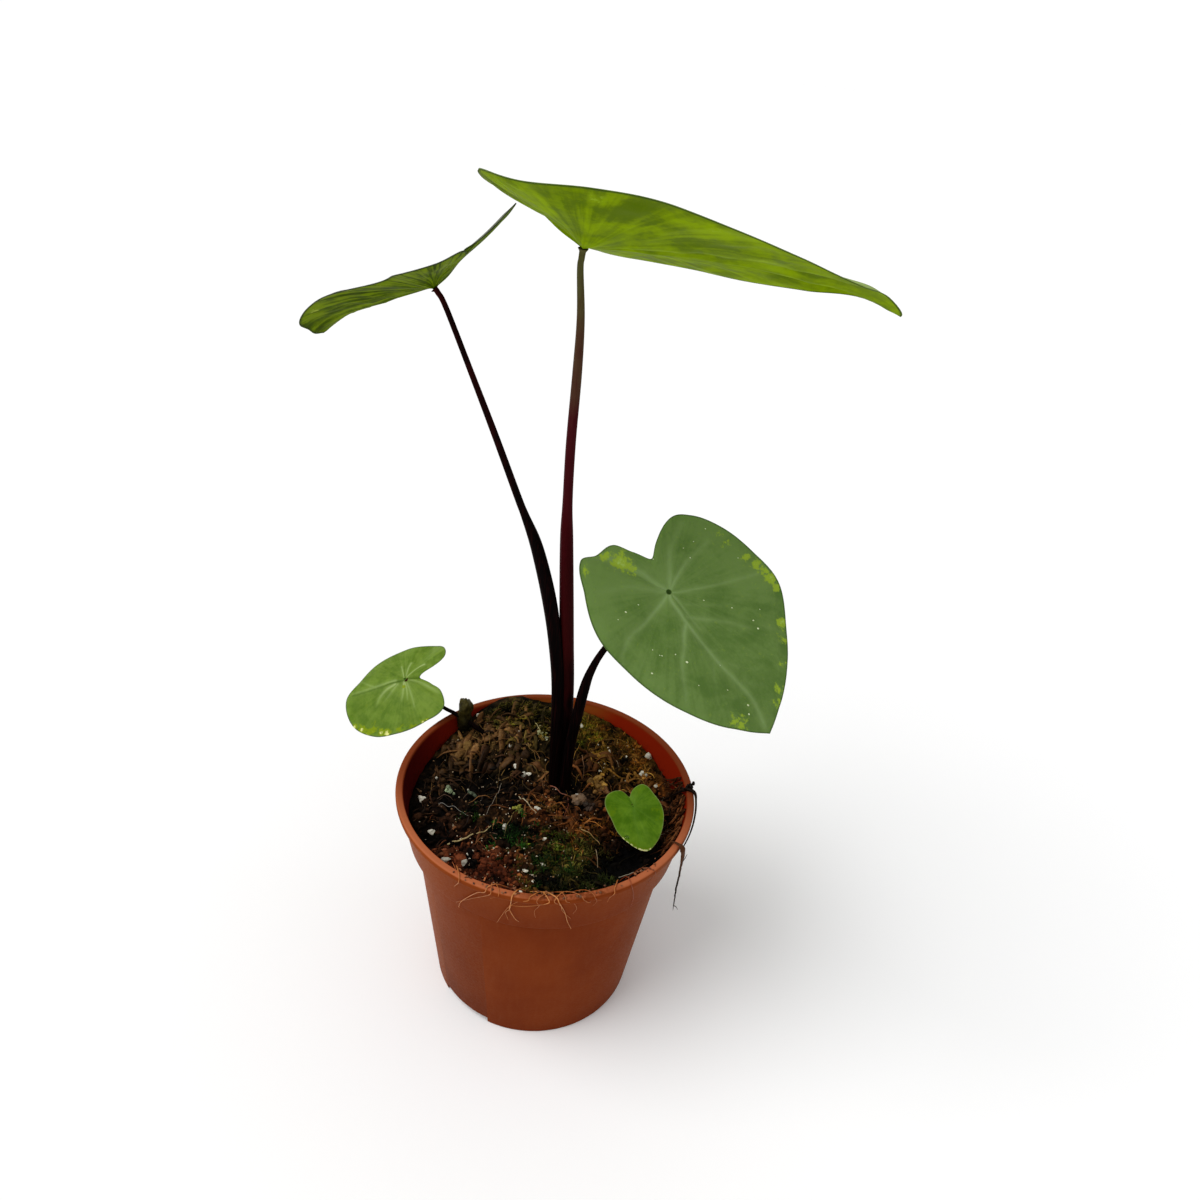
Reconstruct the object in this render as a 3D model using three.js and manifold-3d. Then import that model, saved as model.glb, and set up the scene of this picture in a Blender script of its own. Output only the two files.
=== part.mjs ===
// A small potted aroid: five leaves on dark stalks that rise from one corm in a round nursery pot.
// Millimetres, +Z up. The pot's axis is Z and it stands on z = 0, with its front towards -Y.
import * as THREE from "three";
import { mergeVertices } from "three/addons/utils/BufferGeometryUtils.js";
import Module from "manifold-3d";

const wasm = await Module();
wasm.setup();

// Clearance between pieces that touch.
const GAP = 0.3;

// Pot: a tapered body under a wider, stiffer collar with a flat lip.
const POT_HEIGHT = 100;
const LIP_RADIUS = 60;
const LIP_WIDTH = 3;
const LIP_THICKNESS = 2.8;
const COLLAR_TOP_RADIUS = 58.3;
const COLLAR_FOOT_RADIUS = 54.9;
const COLLAR_FOOT_Z = 78.6;
const BODY_TOP_RADIUS = 51.9;
const FOOT_RADIUS = 42.4;
const WALL = 1.5;
const FLOOR = 1.8;
const FOOT_WIDTH = 2.2;
const FOOT_HEIGHT = 3.5;
const PAD_RADIUS = 14;
const LEDGE_Z = COLLAR_FOOT_Z + 1.4;
const INNER_LIP_RADIUS = LIP_RADIUS - LIP_WIDTH;
const INNER_COLLAR_RADIUS = COLLAR_FOOT_RADIUS - WALL + 0.1;
const INNER_BODY_RADIUS = BODY_TOP_RADIUS - WALL;
const INNER_FOOT_RADIUS = FOOT_RADIUS - WALL;
const DRAIN_COUNT = 6;
const DRAIN_RADIUS = 4;
const DRAIN_CIRCLE = 28;
const DRAIN_DEPTH = 8;
const NOTCH_WIDTH = 24;
const NOTCH_DEPTH = 8;
const NOTCH_HEIGHT = 3.3;
const NOTCH_ANGLE = -129;
const POT_SIDES = 60;

// Soil: lowest at the left and right walls, heaped towards the back and the front.
const SOIL_SIDE_Z = 87.5;
const SOIL_BACK_RISE = 9.5;
const SOIL_FRONT_RISE = 6.5;
const SOIL_CENTRE_Z = 90;
const SOIL_SIDES = 60;
const SOIL_RINGS = 13;
// Heaps and hollows of the surface: x, y, radius, height.
const SOIL_FORMS = [
  [-28, 9, 13, -5.5],
  [26, -26, 12, -4.5],
  [-10, -8, 12, 2.6],
  [-14, -34, 13, 2],
  [24, 24, 14, 2.6],
  [-22, 34, 13, 2.2],
  [8, -34, 9, -2],
  [6, 11, 9, 1.2],
  [-18, 50, 15, 2.6],
];

// Corm: the swollen stem base in the soil that the stalks grow from.
const CORM = { x: 5.2, y: 11.5, z: 61, radius: 12, halfHeight: 14 };
const CORM_STEPS = 10;
const CORM_SIDES = 20;

// Blades: thickness, and the rounding where the stalk meets the blade as a share of the reach.
const BLADE = 0.7;
const HEART_ROUNDING = 0.04;
const BLADE_SIDES = 48;
const BLADE_RINGS = 6;
const SMALL_BLADE_SIDES = 36;
const SMALL_BLADE_RINGS = 4;

// Each leaf: where the stalk meets it, how it is turned (heading from +X, tip down, left side up,
// in degrees), the arch of its midrib, the hook of its tip, and its margin as
// [degrees from the tip, reach, rise above the frame of the leaf].
const LEAVES = {
  tall: {
    at: [-3, 8, 307.8],
    heading: 0,
    pitch: 0,
    roll: 0,
    arch: 5,
    hook: 2.5,
    margin: [
      [0, 99.8, -7.8], [6, 89.6, -7], [14, 75.8, -10.5], [28, 63.2, -12], [45, 53.9, -12],
      [65, 47.9, -11.5], [88, 47.5, -10], [112, 46.1, 0.8], [134, 44.5, 10.5], [152, 37.5, 17],
      [167, 27, 16.2], [180, 19.5, 12.8], [193, 24.8, 17.8], [208, 32.5, 22], [226, 40.2, 24.5],
      [248, 45, 24], [272, 45, 24.5], [295, 47.5, 22.5], [315, 56.4, 17], [332, 67.5, 10],
      [345, 83.5, 2.5], [353, 92.5, -1.5],
    ],
  },
  left: {
    at: [-48.4, 12, 290.4],
    heading: 152,
    pitch: 0,
    roll: 0,
    arch: 0,
    hook: 1,
    margin: [
      [0, 50, -24.5], [7, 48.9, -22], [14, 47.5, -19.5], [24, 42, -12.8], [36, 35, -5.5],
      [54, 27.8, 0], [78, 19, 5], [104, 24, 9.5], [128, 24.5, 13.5], [148, 22, 16],
      [166, 15, 13.2], [180, 11.2, 13.5], [194, 14.2, 16.5], [208, 18.5, 19.9], [222, 24.4, 26],
      [240, 23.4, 21.5], [262, 21.5, 12.5], [285, 22.5, 5], [305, 26.2, -1], [325, 34.4, -8.8],
      [343, 42.9, -18],
    ],
  },
  right: {
    at: [37.2, 0, 194.6],
    heading: -39,
    pitch: 35,
    roll: 20,
    arch: 2,
    hook: 0,
    margin: [
      [0, 61, 0], [10, 56, 0], [26, 48.5, 3], [41, 44.5, 3.2], [62, 40.6, 5.8], [82, 35.5, 5],
      [106, 32.9, 3.4], [128, 30.5, 3.5], [141, 28.5, 2.5], [158, 19, 1.8], [172, 13.5, 0.8],
      [188, 19.6, 0.5], [196, 25.8, 0.7], [212, 29.2, 1.2], [221, 34, 3.8], [243, 32.5, 4.8],
      [271, 34.5, 5.8], [297, 36, 4.5], [326, 43.5, 4.2], [347, 53, 3],
    ],
  },
  low: {
    at: [-65, 45, 112.8],
    heading: -174,
    pitch: 20,
    roll: -20,
    arch: 1,
    hook: 0,
    small: true,
    margin: [
      [5, 27.5, -1.2], [27, 29.5, -4.9], [48, 27, -6.8], [71, 23.4, -6.2], [104, 20.5, -6.5],
      [132, 21.8, -4.7], [147, 17.8, -1.2], [155, 12.5, -1.6], [173, 6.5, -1.2], [190, 9.2, -0.5],
      [205, 19.5, -2.5], [214, 22, -2.5], [237, 22, -6.8], [256, 19.6, -5], [285, 20, -6.4],
      [322, 20, -3.2], [346, 21.5, -1],
    ],
  },
  young: {
    at: [34.8, -10, 100.5],
    heading: -71,
    pitch: 20,
    roll: 5,
    arch: 0.5,
    hook: 0,
    small: true,
    margin: [
      [0, 19, 0], [14, 17.5, 0.5], [32, 15, 1], [51, 13, 1.5], [104, 10, 1.5], [142, 10.5, 1],
      [164, 7.5, 0.5], [184, 4.5, 0], [201, 8, 0.5], [230, 11, 1], [248, 11.5, 1.5],
      [291, 11, 1.5], [318, 13.5, 1], [337, 16, 1],
    ],
  },
};

// Each stalk runs from the corm to the underside of its blade: x, y, z, radius.
const STALKS = {
  tall: [
    [6, 12.4, 72, 2.6], [6.7, 13.4, 85, 2.9], [6, 13.2, 104.5, 2.8], [4.6, 12.8, 138.5, 2.5],
    [2.8, 12.5, 161.5, 2.5], [1.3, 12.3, 180, 2.5], [-0.7, 11.6, 206, 2.2], [-1.5, 11.2, 221, 1.7],
    [-2, 10.5, 243, 1.6], [-1.8, 9.7, 268, 1.5], [-2.1, 9, 286, 1.25], [-3.5, 8.3, 301, 1.05],
    [-3.4, 8.1, 304.8, 1], [-2.9, 8, 307.4, 1.1],
  ],
  left: [
    [3.4, 10.8, 72, 2.2], [3.2, 11, 89, 2.5], [2.5, 11, 106, 2.4], [1, 11, 140, 2.4],
    [-1.6, 11, 162.5, 2.6], [-5.3, 11, 182, 2.7], [-10.9, 11, 202, 2.3], [-15.9, 11, 214.5, 1.5],
    [-18.4, 11, 220.5, 1.35], [-27.7, 11.1, 243.3, 1.2], [-36.3, 11.5, 264.6, 1],
    [-44.4, 11.9, 284.6, 0.9], [-47.2, 12, 289.2, 0.9], [-48.1, 12, 290.2, 0.95],
  ],
  right: [
    [7, 9, 72, 2.1], [8, 8.1, 87, 2.3], [7.6, 7.9, 98, 2.2], [8, 7.7, 114.5, 2.1],
    [9.9, 7.6, 132, 2.1], [11.3, 7.4, 143.5, 2], [13, 7.2, 152, 1.6], [16.7, 7, 162, 1.25],
    [25, 6, 177.7, 1.15], [32.5, 3.4, 187.5, 1.1], [36.6, 1, 193, 1.1], [37.1, 0.2, 194.3, 1.1],
  ],
  low: [
    [0, 14, 64, 1.3], [-10, 20, 77, 1.2], [-19, 29.5, 87.5, 1.1], [-24.2, 33.4, 92.4, 1],
    [-33.2, 35.7, 97.4, 1], [-42, 38.4, 101.6, 0.9], [-47.2, 40.8, 102.7, 0.85],
    [-56, 43.6, 106, 0.8], [-64.6, 44.9, 112.3, 0.8],
  ],
  young: [
    [12, 8, 66, 1.1], [22, 4, 77, 1], [29, 0, 88, 0.9], [32.6, -5.4, 95.5, 0.8],
    [34.7, -9.6, 100.1, 0.8],
  ],
};
const STALK_SIDES = 8;
const STALK_STEPS_PER_POINT = 2;

// A lump of bark that stands in the soil by the back left of the rim.
const BARK = { x: -38.1, y: 38.2, z: 102.5, width: 2.6, halfHeight: 7 };

// A dry root strip that lies over the lip at the front right and hangs down outside, in one
// upright plane through the pot's axis: distance from the axis and height along it.
const STRIP_ANGLE = -29.3;
const STRIP_PATH = [
  [48, 88.5], [52, 93], [55.2, 98], [56.3, 100.4], [57.8, 101.3], [59.6, 101.3], [61.2, 100.4],
  [61.9, 97.5], [61.9, 88], [61.7, 78], [62, 66],
];
const STRIP_HALF_WIDTH = 1.7;
const STRIP_HALF_THICKNESS = 0.4;

const COLOURS = {
  terracotta: "#8a4526",
  soil: "#33231a",
  stalk: "#2a1013",
  leafUnder: "#7a9a18",
  leafTop: "#5a7a3c",
  leafYoung: "#4f7a15",
  bark: "#4a3a22",
  strip: "#3b2a1c",
  corm: "#6b4a34",
};

const radians = THREE.MathUtils.degToRad;

// Turns a closed geometry into a solid that can be cut and joined.
function solidOf(geometry) {
  const bare = geometry.clone();
  bare.deleteAttribute("normal");
  bare.deleteAttribute("uv");
  const merged = mergeVertices(bare, 1e-4);
  return new wasm.Manifold(
    new wasm.Mesh({
      numProp: 3,
      vertProperties: new Float32Array(merged.attributes.position.array),
      triVerts: new Uint32Array(merged.index.array),
    }),
  );
}

function geometryOf(solid) {
  const mesh = solid.getMesh();
  const geometry = new THREE.BufferGeometry();
  geometry.setAttribute("position", new THREE.BufferAttribute(mesh.vertProperties.slice(), 3));
  geometry.setIndex(new THREE.BufferAttribute(mesh.triVerts.slice(), 1));
  geometry.computeVertexNormals();
  return geometry;
}

// The biggest body that a cut leaves.
function largest(solid) {
  const bodies = solid.decompose();
  return bodies.reduce((best, body) => (body.volume() > best.volume() ? body : best));
}

// Closed geometry from rings of points, each listed anticlockwise about the way the rings run.
function loft(rings, startPoint, endPoint) {
  const sides = rings[0].length;
  const positions = [startPoint, ...rings.flat(), endPoint].flatMap((point) => point.toArray());
  const end = 1 + rings.length * sides;
  const index = [];
  for (let side = 0; side < sides; side++) {
    const next = (side + 1) % sides;
    index.push(0, 1 + next, 1 + side);
    for (let ring = 0; ring < rings.length - 1; ring++) {
      const a = 1 + ring * sides + side;
      const b = 1 + ring * sides + next;
      index.push(a, b, b + sides, a, b + sides, a + sides);
    }
    const last = 1 + (rings.length - 1) * sides;
    index.push(end, last + side, last + next);
  }
  const geometry = new THREE.BufferGeometry();
  geometry.setAttribute("position", new THREE.Float32BufferAttribute(positions, 3));
  geometry.setIndex(index);
  return geometry;
}

// Closed body of revolution about Z from points of radius and height, listed from the bottom
// of the axis round the outside to the top of the axis.
function revolve(profile, sides) {
  const points = profile.map(([radius, z]) => new THREE.Vector2(radius, z));
  return new THREE.LatheGeometry(points, sides).rotateX(Math.PI / 2);
}

// Pot

function potSolid() {
  const profile = [
    [0, 0],
    [PAD_RADIUS, 0],
    [PAD_RADIUS + 2, FOOT_HEIGHT],
    [FOOT_RADIUS - FOOT_WIDTH - 0.8, FOOT_HEIGHT],
    [FOOT_RADIUS - FOOT_WIDTH, 0],
    [FOOT_RADIUS, 0],
    [BODY_TOP_RADIUS, COLLAR_FOOT_Z - 0.8],
    [BODY_TOP_RADIUS + 0.8, COLLAR_FOOT_Z - 0.2],
    [COLLAR_FOOT_RADIUS, COLLAR_FOOT_Z],
    [COLLAR_TOP_RADIUS, POT_HEIGHT - LIP_THICKNESS - 0.6],
    [LIP_RADIUS - 0.1, POT_HEIGHT - LIP_THICKNESS],
    [LIP_RADIUS, POT_HEIGHT - 0.7],
    [LIP_RADIUS - 0.6, POT_HEIGHT],
    [INNER_LIP_RADIUS + 0.4, POT_HEIGHT],
    [INNER_LIP_RADIUS, POT_HEIGHT - 0.6],
    [INNER_COLLAR_RADIUS, LEDGE_Z],
    [INNER_BODY_RADIUS, LEDGE_Z - 0.8],
    [INNER_FOOT_RADIUS, FOOT_HEIGHT + FLOOR],
    [PAD_RADIUS + 1.2, FOOT_HEIGHT + FLOOR],
    [PAD_RADIUS - 0.8, FLOOR],
    [0, FLOOR],
  ];
  let solid = solidOf(revolve(profile, POT_SIDES));
  for (let hole = 0; hole < DRAIN_COUNT; hole++) {
    const angle = radians((hole + 0.5) * (360 / DRAIN_COUNT));
    const drain = new THREE.CylinderGeometry(DRAIN_RADIUS, DRAIN_RADIUS, DRAIN_DEPTH, 12);
    drain.rotateX(Math.PI / 2).translate(DRAIN_CIRCLE, 0, FOOT_HEIGHT + 1).rotateZ(angle);
    solid = solid.subtract(solidOf(drain));
  }
  for (const turn of [0, 180]) {
    const notch = new THREE.BoxGeometry(NOTCH_DEPTH, NOTCH_WIDTH, 2 * NOTCH_HEIGHT);
    notch.translate(FOOT_RADIUS, 0, 0).rotateZ(radians(NOTCH_ANGLE + turn));
    solid = solid.subtract(solidOf(notch));
  }
  return solid;
}

// Soil

function soilTop(x, y) {
  const radius = Math.hypot(x, y);
  const share = Math.min(radius / INNER_LIP_RADIUS, 1);
  const up = radius > 0 ? y / radius : 0;
  const heap = up > 0 ? SOIL_BACK_RISE * up * up : SOIL_FRONT_RISE * up * up;
  const edge = SOIL_SIDE_Z + heap;
  let z = SOIL_CENTRE_Z + (edge - SOIL_CENTRE_Z) * share ** 2.4;
  for (const [cx, cy, spread, height] of SOIL_FORMS) {
    z += height * Math.exp(-((x - cx) ** 2 + (y - cy) ** 2) / (spread * spread) * 1.6);
  }
  const lumps = Math.sin(0.61 * x + 0.23 * y + 1) * Math.sin(0.55 * y - 0.31 * x + 2);
  const crumbs = Math.sin(1.13 * x - 0.7 * y) * Math.sin(0.97 * y + 0.62 * x + 0.8);
  return z + (0.9 * lumps + 0.5 * crumbs) * (1 - 0.6 * share ** 4);
}

function wallRadius(z) {
  const climb = (z - LEDGE_Z) / (POT_HEIGHT - 0.6 - LEDGE_Z);
  return INNER_COLLAR_RADIUS + climb * (INNER_LIP_RADIUS - INNER_COLLAR_RADIUS) - GAP;
}

function soilSolid() {
  const ring = (place) =>
    Array.from({ length: SOIL_SIDES }, (_, side) => place((2 * Math.PI * side) / SOIL_SIDES));
  const level = (radius, z) =>
    ring((a) => new THREE.Vector3(radius * Math.cos(a), radius * Math.sin(a), z));
  const rings = [
    level(PAD_RADIUS - 1.1, FLOOR + GAP),
    level(PAD_RADIUS + 0.9, FOOT_HEIGHT + FLOOR + GAP),
    level(INNER_FOOT_RADIUS - GAP, FOOT_HEIGHT + FLOOR + GAP),
    level(INNER_BODY_RADIUS - GAP, LEDGE_Z - 0.5),
    level(INNER_COLLAR_RADIUS - GAP, LEDGE_Z + 0.35),
  ];
  for (let step = SOIL_RINGS; step > 0; step--) {
    const share = step / SOIL_RINGS;
    rings.push(
      ring((a) => {
        const rim = wallRadius(soilTop(55 * Math.cos(a), 55 * Math.sin(a)));
        const x = rim * share * Math.cos(a);
        const y = rim * share * Math.sin(a);
        return new THREE.Vector3(x, y, soilTop(x, y));
      }),
    );
  }
  const bottom = new THREE.Vector3(0, 0, FLOOR + GAP);
  const top = new THREE.Vector3(0, 0, soilTop(0, 0));
  return solidOf(loft(rings, bottom, top));
}

// Corm

function cormSolid(growth) {
  const profile = [];
  for (let step = 0; step <= CORM_STEPS; step++) {
    const angle = (Math.PI * step) / CORM_STEPS;
    const radius = (CORM.radius + growth) * Math.sin(angle) * (1 + 0.04 * Math.cos(5 * angle));
    profile.push([Math.max(radius, 0), -(CORM.halfHeight + growth) * Math.cos(angle)]);
  }
  profile[0][0] = 0;
  profile[CORM_STEPS][0] = 0;
  return solidOf(revolve(profile, CORM_SIDES).translate(CORM.x, CORM.y, CORM.z));
}

// Leaf blades

// Smooth closed curve through the margin's points at an angle in degrees: [reach, rise].
function marginAt(margin, degrees) {
  const count = margin.length;
  const angle = degrees < margin[0][0] ? degrees + 360 : degrees;
  let here = count - 1;
  while (here > 0 && margin[here][0] > angle) here--;
  const point = (offset) => {
    const index = here + offset;
    const turn = Math.floor(index / count) * 360;
    const [a, reach, rise] = margin[(index + count) % count];
    return [a + turn, reach, rise];
  };
  const [before, start, end, after] = [point(-1), point(0), point(1), point(2)];
  const span = end[0] - start[0];
  const t = (angle - start[0]) / span;
  return [1, 2].map((k) => {
    const leave = ((end[k] - before[k]) / (end[0] - before[0])) * span;
    const arrive = ((after[k] - start[k]) / (after[0] - start[0])) * span;
    return (
      (2 * t ** 3 - 3 * t ** 2 + 1) * start[k] +
      (t ** 3 - 2 * t ** 2 + t) * leave +
      (3 * t ** 2 - 2 * t ** 3) * end[k] +
      (t ** 3 - t ** 2) * arrive
    );
  });
}

// A point of the blade's middle surface in the leaf's own frame, at an angle from the tip and a
// share of the way from the stalk to the margin.
function bladePoint(leaf, degrees, share) {
  const [reach, rise] = marginAt(leaf.margin, ((degrees % 360) + 360) % 360);
  const angle = radians(degrees);
  const forward = Math.max(Math.cos(angle), 0);
  const e = HEART_ROUNDING;
  const climb = (Math.hypot(share, e) - e) / (Math.hypot(1, e) - e);
  const arch = leaf.arch * 4 * share * (1 - share) * forward ** 2;
  const hook = leaf.hook * Math.max((share - 0.85) / 0.15, 0) ** 2 * forward ** 60;
  return new THREE.Vector3(
    reach * share * Math.cos(angle),
    reach * share * Math.sin(angle),
    rise * climb + arch - hook,
  );
}

function bladeNormal(leaf, degrees, share) {
  const outer = bladePoint(leaf, degrees, share + 0.02);
  const along = outer.sub(bladePoint(leaf, degrees, share - 0.02));
  const across = bladePoint(leaf, degrees + 2, share).sub(bladePoint(leaf, degrees - 2, share));
  return along.cross(across).normalize();
}

// The blade as a thin plate, its two faces split into triangles alike.
function bladeGeometry(leaf, thickness) {
  const sides = leaf.small ? SMALL_BLADE_SIDES : BLADE_SIDES;
  const steps = leaf.small ? SMALL_BLADE_RINGS : BLADE_RINGS;
  const face = (offset) =>
    Array.from({ length: steps }, (_, step) =>
      Array.from({ length: sides }, (__, side) => {
        const degrees = (360 * side) / sides;
        const share = (step + 1) / steps;
        const normal = bladeNormal(leaf, degrees, Math.min(share, 0.97));
        return bladePoint(leaf, degrees, share).addScaledVector(normal, offset);
      }),
    );
  const half = thickness / 2;
  const under = face(-half);
  const upper = face(half);
  return loft(
    [...under, ...upper.reverse()],
    new THREE.Vector3(0, 0, -half),
    new THREE.Vector3(0, 0, half),
  );
}

function leafTurn(leaf) {
  return new THREE.Euler(radians(leaf.roll), radians(leaf.pitch), radians(leaf.heading), "ZYX");
}

function leafMatrix(leaf) {
  return new THREE.Matrix4().makeRotationFromEuler(leafTurn(leaf)).setPosition(...leaf.at);
}

// Stalks

function stalkGeometry(points, growth) {
  const curve = new THREE.CatmullRomCurve3(points.map(([x, y, z]) => new THREE.Vector3(x, y, z)));
  const spans = points.length - 1;
  const steps = spans * STALK_STEPS_PER_POINT;
  const rings = [];
  for (let step = 0; step <= steps; step++) {
    const t = step / steps;
    const centre = curve.getPoint(t);
    const axis = curve.getTangent(t);
    const here = Math.min(Math.floor(t * spans), spans - 1);
    const share = t * spans - here;
    const radius = points[here][3] * (1 - share) + points[here + 1][3] * share + growth;
    const side = new THREE.Vector3(0, 1, 0).cross(axis).normalize();
    const front = axis.clone().cross(side);
    rings.push(
      Array.from({ length: STALK_SIDES }, (_, corner) => {
        const angle = (2 * Math.PI * (corner + 0.5)) / STALK_SIDES;
        return centre
          .clone()
          .addScaledVector(side, radius * Math.cos(angle))
          .addScaledVector(front, radius * Math.sin(angle));
      }),
    );
  }
  return loft(rings, curve.getPoint(0), curve.getPoint(1));
}

function stalkSolid(name, growth = 0) {
  return solidOf(stalkGeometry(STALKS[name], growth));
}

// The stalk stops a gap below its blade and above the corm, and hugs the stalks it is cut by.
function fittedStalk(name, neighbours) {
  const leaf = LEAVES[name];
  const blade = bladeGeometry(leaf, BLADE + 2 * GAP).applyMatrix4(leafMatrix(leaf));
  let solid = stalkSolid(name).subtract(solidOf(blade)).subtract(cormSolid(GAP));
  for (const other of neighbours) solid = solid.subtract(stalkSolid(other, GAP));
  return largest(solid);
}

// Bark lump and dry strip

function barkSolid(growth) {
  const ball = new THREE.IcosahedronGeometry(1, 1);
  const position = ball.getAttribute("position");
  for (let index = 0; index < position.count; index++) {
    const point = new THREE.Vector3().fromBufferAttribute(position, index);
    const rough = 1 + 0.14 * Math.sin(5 * point.x + 2 * point.z) * Math.cos(4 * point.y + 1);
    point.multiplyScalar(rough);
    const width = BARK.width + growth;
    point.multiply(new THREE.Vector3(width, width, BARK.halfHeight + growth));
    position.setXYZ(index, point.x, point.y, point.z);
  }
  const lump = solidOf(ball.translate(BARK.x, BARK.y, BARK.z));
  return lump.subtract(stalkSolid("low", GAP - growth));
}

function stripSolid(growth) {
  const up = new THREE.Vector3(0, 0, 1);
  const outward = new THREE.Vector3(1, 0, 0).applyAxisAngle(up, radians(STRIP_ANGLE));
  const across = up.clone().cross(outward);
  const curve = new THREE.CatmullRomCurve3(
    STRIP_PATH.map(([distance, z]) => outward.clone().multiplyScalar(distance).setZ(z)),
  );
  const steps = 2 * (STRIP_PATH.length - 1);
  const rings = [];
  for (let step = 0; step <= steps; step++) {
    const t = step / steps;
    const centre = curve.getPoint(t);
    const axis = curve.getTangent(t);
    const face = axis.clone().cross(across).normalize();
    const taper = 1 - 0.75 * Math.max((t - 0.6) / 0.4, 0);
    const width = STRIP_HALF_WIDTH * taper + growth;
    const thickness = STRIP_HALF_THICKNESS + growth;
    rings.push(
      [[1, 1], [-1, 1], [-1, -1], [1, -1]].map(([u, v]) =>
        centre.clone().addScaledVector(across, u * width).addScaledVector(face, v * thickness),
      ),
    );
  }
  return solidOf(loft(rings, curve.getPoint(0), curve.getPoint(1)));
}

// Assembly

const plant = new THREE.Group();

function addMesh(name, geometry, colour, roughness) {
  const material = new THREE.MeshStandardMaterial({ color: colour, roughness, metalness: 0 });
  const mesh = new THREE.Mesh(geometry, material);
  mesh.name = name;
  plant.add(mesh);
  return mesh;
}

addMesh("pot", geometryOf(potSolid()), COLOURS.terracotta, 0.5);

let soil = soilSolid().subtract(cormSolid(GAP)).subtract(barkSolid(GAP)).subtract(stripSolid(GAP));
for (const name of Object.keys(STALKS)) soil = soil.subtract(stalkSolid(name, GAP));
addMesh("soil", geometryOf(largest(soil)), COLOURS.soil, 0.95);
addMesh("corm", geometryOf(cormSolid(0)), COLOURS.corm, 0.8);

addMesh("petiole_tall", geometryOf(fittedStalk("tall", [])), COLOURS.stalk, 0.4);
addMesh("petiole_left", geometryOf(fittedStalk("left", ["tall"])), COLOURS.stalk, 0.4);
addMesh("petiole_right", geometryOf(fittedStalk("right", ["tall", "left"])), COLOURS.stalk, 0.4);
addMesh("petiole_low", geometryOf(fittedStalk("low", ["tall", "left"])), COLOURS.stalk, 0.5);
addMesh("petiole_young", geometryOf(fittedStalk("young", ["tall", "right"])), COLOURS.stalk, 0.5);

const BLADE_COLOURS = {
  tall: COLOURS.leafUnder,
  left: COLOURS.leafUnder,
  right: COLOURS.leafTop,
  low: COLOURS.leafTop,
  young: COLOURS.leafYoung,
};
for (const [name, leaf] of Object.entries(LEAVES)) {
  const mesh = addMesh(`leaf_${name}`, bladeGeometry(leaf, BLADE), BLADE_COLOURS[name], 0.55);
  mesh.position.set(...leaf.at);
  mesh.rotation.copy(leafTurn(leaf));
}

addMesh("bark_lump", geometryOf(barkSolid(0)), COLOURS.bark, 0.9);
addMesh("dry_strip", geometryOf(stripSolid(0)), COLOURS.strip, 0.9);

export default plant;
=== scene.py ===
"""The looks of a small potted aroid: blades, stalks, pot and soil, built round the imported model.

Shapes are worked out in millimetres, in the model's frame, and scaled to metres when a mesh
is made.
"""

import math

import bpy
import numpy as np
from mathutils import Matrix


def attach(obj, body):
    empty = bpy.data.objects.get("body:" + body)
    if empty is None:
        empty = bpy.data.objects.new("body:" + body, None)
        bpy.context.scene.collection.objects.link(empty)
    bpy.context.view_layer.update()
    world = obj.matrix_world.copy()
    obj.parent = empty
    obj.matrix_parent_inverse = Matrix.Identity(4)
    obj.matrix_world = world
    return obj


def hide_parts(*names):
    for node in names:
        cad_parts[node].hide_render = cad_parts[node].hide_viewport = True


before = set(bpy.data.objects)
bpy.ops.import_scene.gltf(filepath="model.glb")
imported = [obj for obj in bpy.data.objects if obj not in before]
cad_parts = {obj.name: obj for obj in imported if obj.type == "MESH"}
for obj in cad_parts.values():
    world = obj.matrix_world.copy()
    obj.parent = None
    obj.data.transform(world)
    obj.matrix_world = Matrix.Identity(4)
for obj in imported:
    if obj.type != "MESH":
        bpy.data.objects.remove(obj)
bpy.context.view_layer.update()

MM = 0.001
random = np.random.default_rng(20)

# Camera: the photograph's viewpoint.
CAMERA_AT = (0, -304.4, 376.3)
CAMERA_PITCH = 31.58
CAMERA_YAW = -2.5
CAMERA_ROLL = 6.23
CAMERA_LENS = 30
CAMERA_SENSOR = 36

# Light: a broad soft key from the left, and an even white surround.
KEY_ELEVATION = 55
KEY_AZIMUTH = -70
KEY_WIDTH = 45
KEY_STRENGTH = 1.84
SURROUND_STRENGTH = 0.615
BACKDROP_STRENGTH = 1.6

# Grade: how the photograph's tones run, as linear light in and out.
GRADE = [(0, 0), (0.01, 0.005), (0.04, 0.03), (0.12, 0.115), (0.5, 0.5), (1, 1)]

# Pot, as in the model.
POT_HEIGHT = 100
LIP_RADIUS = 60
LIP_WIDTH = 3
LIP_THICKNESS = 2.8
COLLAR_TOP_RADIUS = 58.3
COLLAR_FOOT_RADIUS = 54.9
COLLAR_FOOT_Z = 78.6
BODY_TOP_RADIUS = 51.9
FOOT_RADIUS = 42.4
WALL = 1.5
FLOOR = 1.8
FOOT_WIDTH = 2.2
FOOT_HEIGHT = 3.5
PAD_RADIUS = 14
LEDGE_Z = COLLAR_FOOT_Z + 1.4
INNER_LIP_RADIUS = LIP_RADIUS - LIP_WIDTH
INNER_COLLAR_RADIUS = COLLAR_FOOT_RADIUS - WALL + 0.1
INNER_BODY_RADIUS = BODY_TOP_RADIUS - WALL
INNER_FOOT_RADIUS = FOOT_RADIUS - WALL
DRAIN_COUNT = 6
DRAIN_RADIUS = 4
DRAIN_CIRCLE = 28
NOTCH_WIDTH = 24
NOTCH_DEPTH = 8
NOTCH_HEIGHT = 3.3
NOTCH_ANGLE = -129

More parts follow.
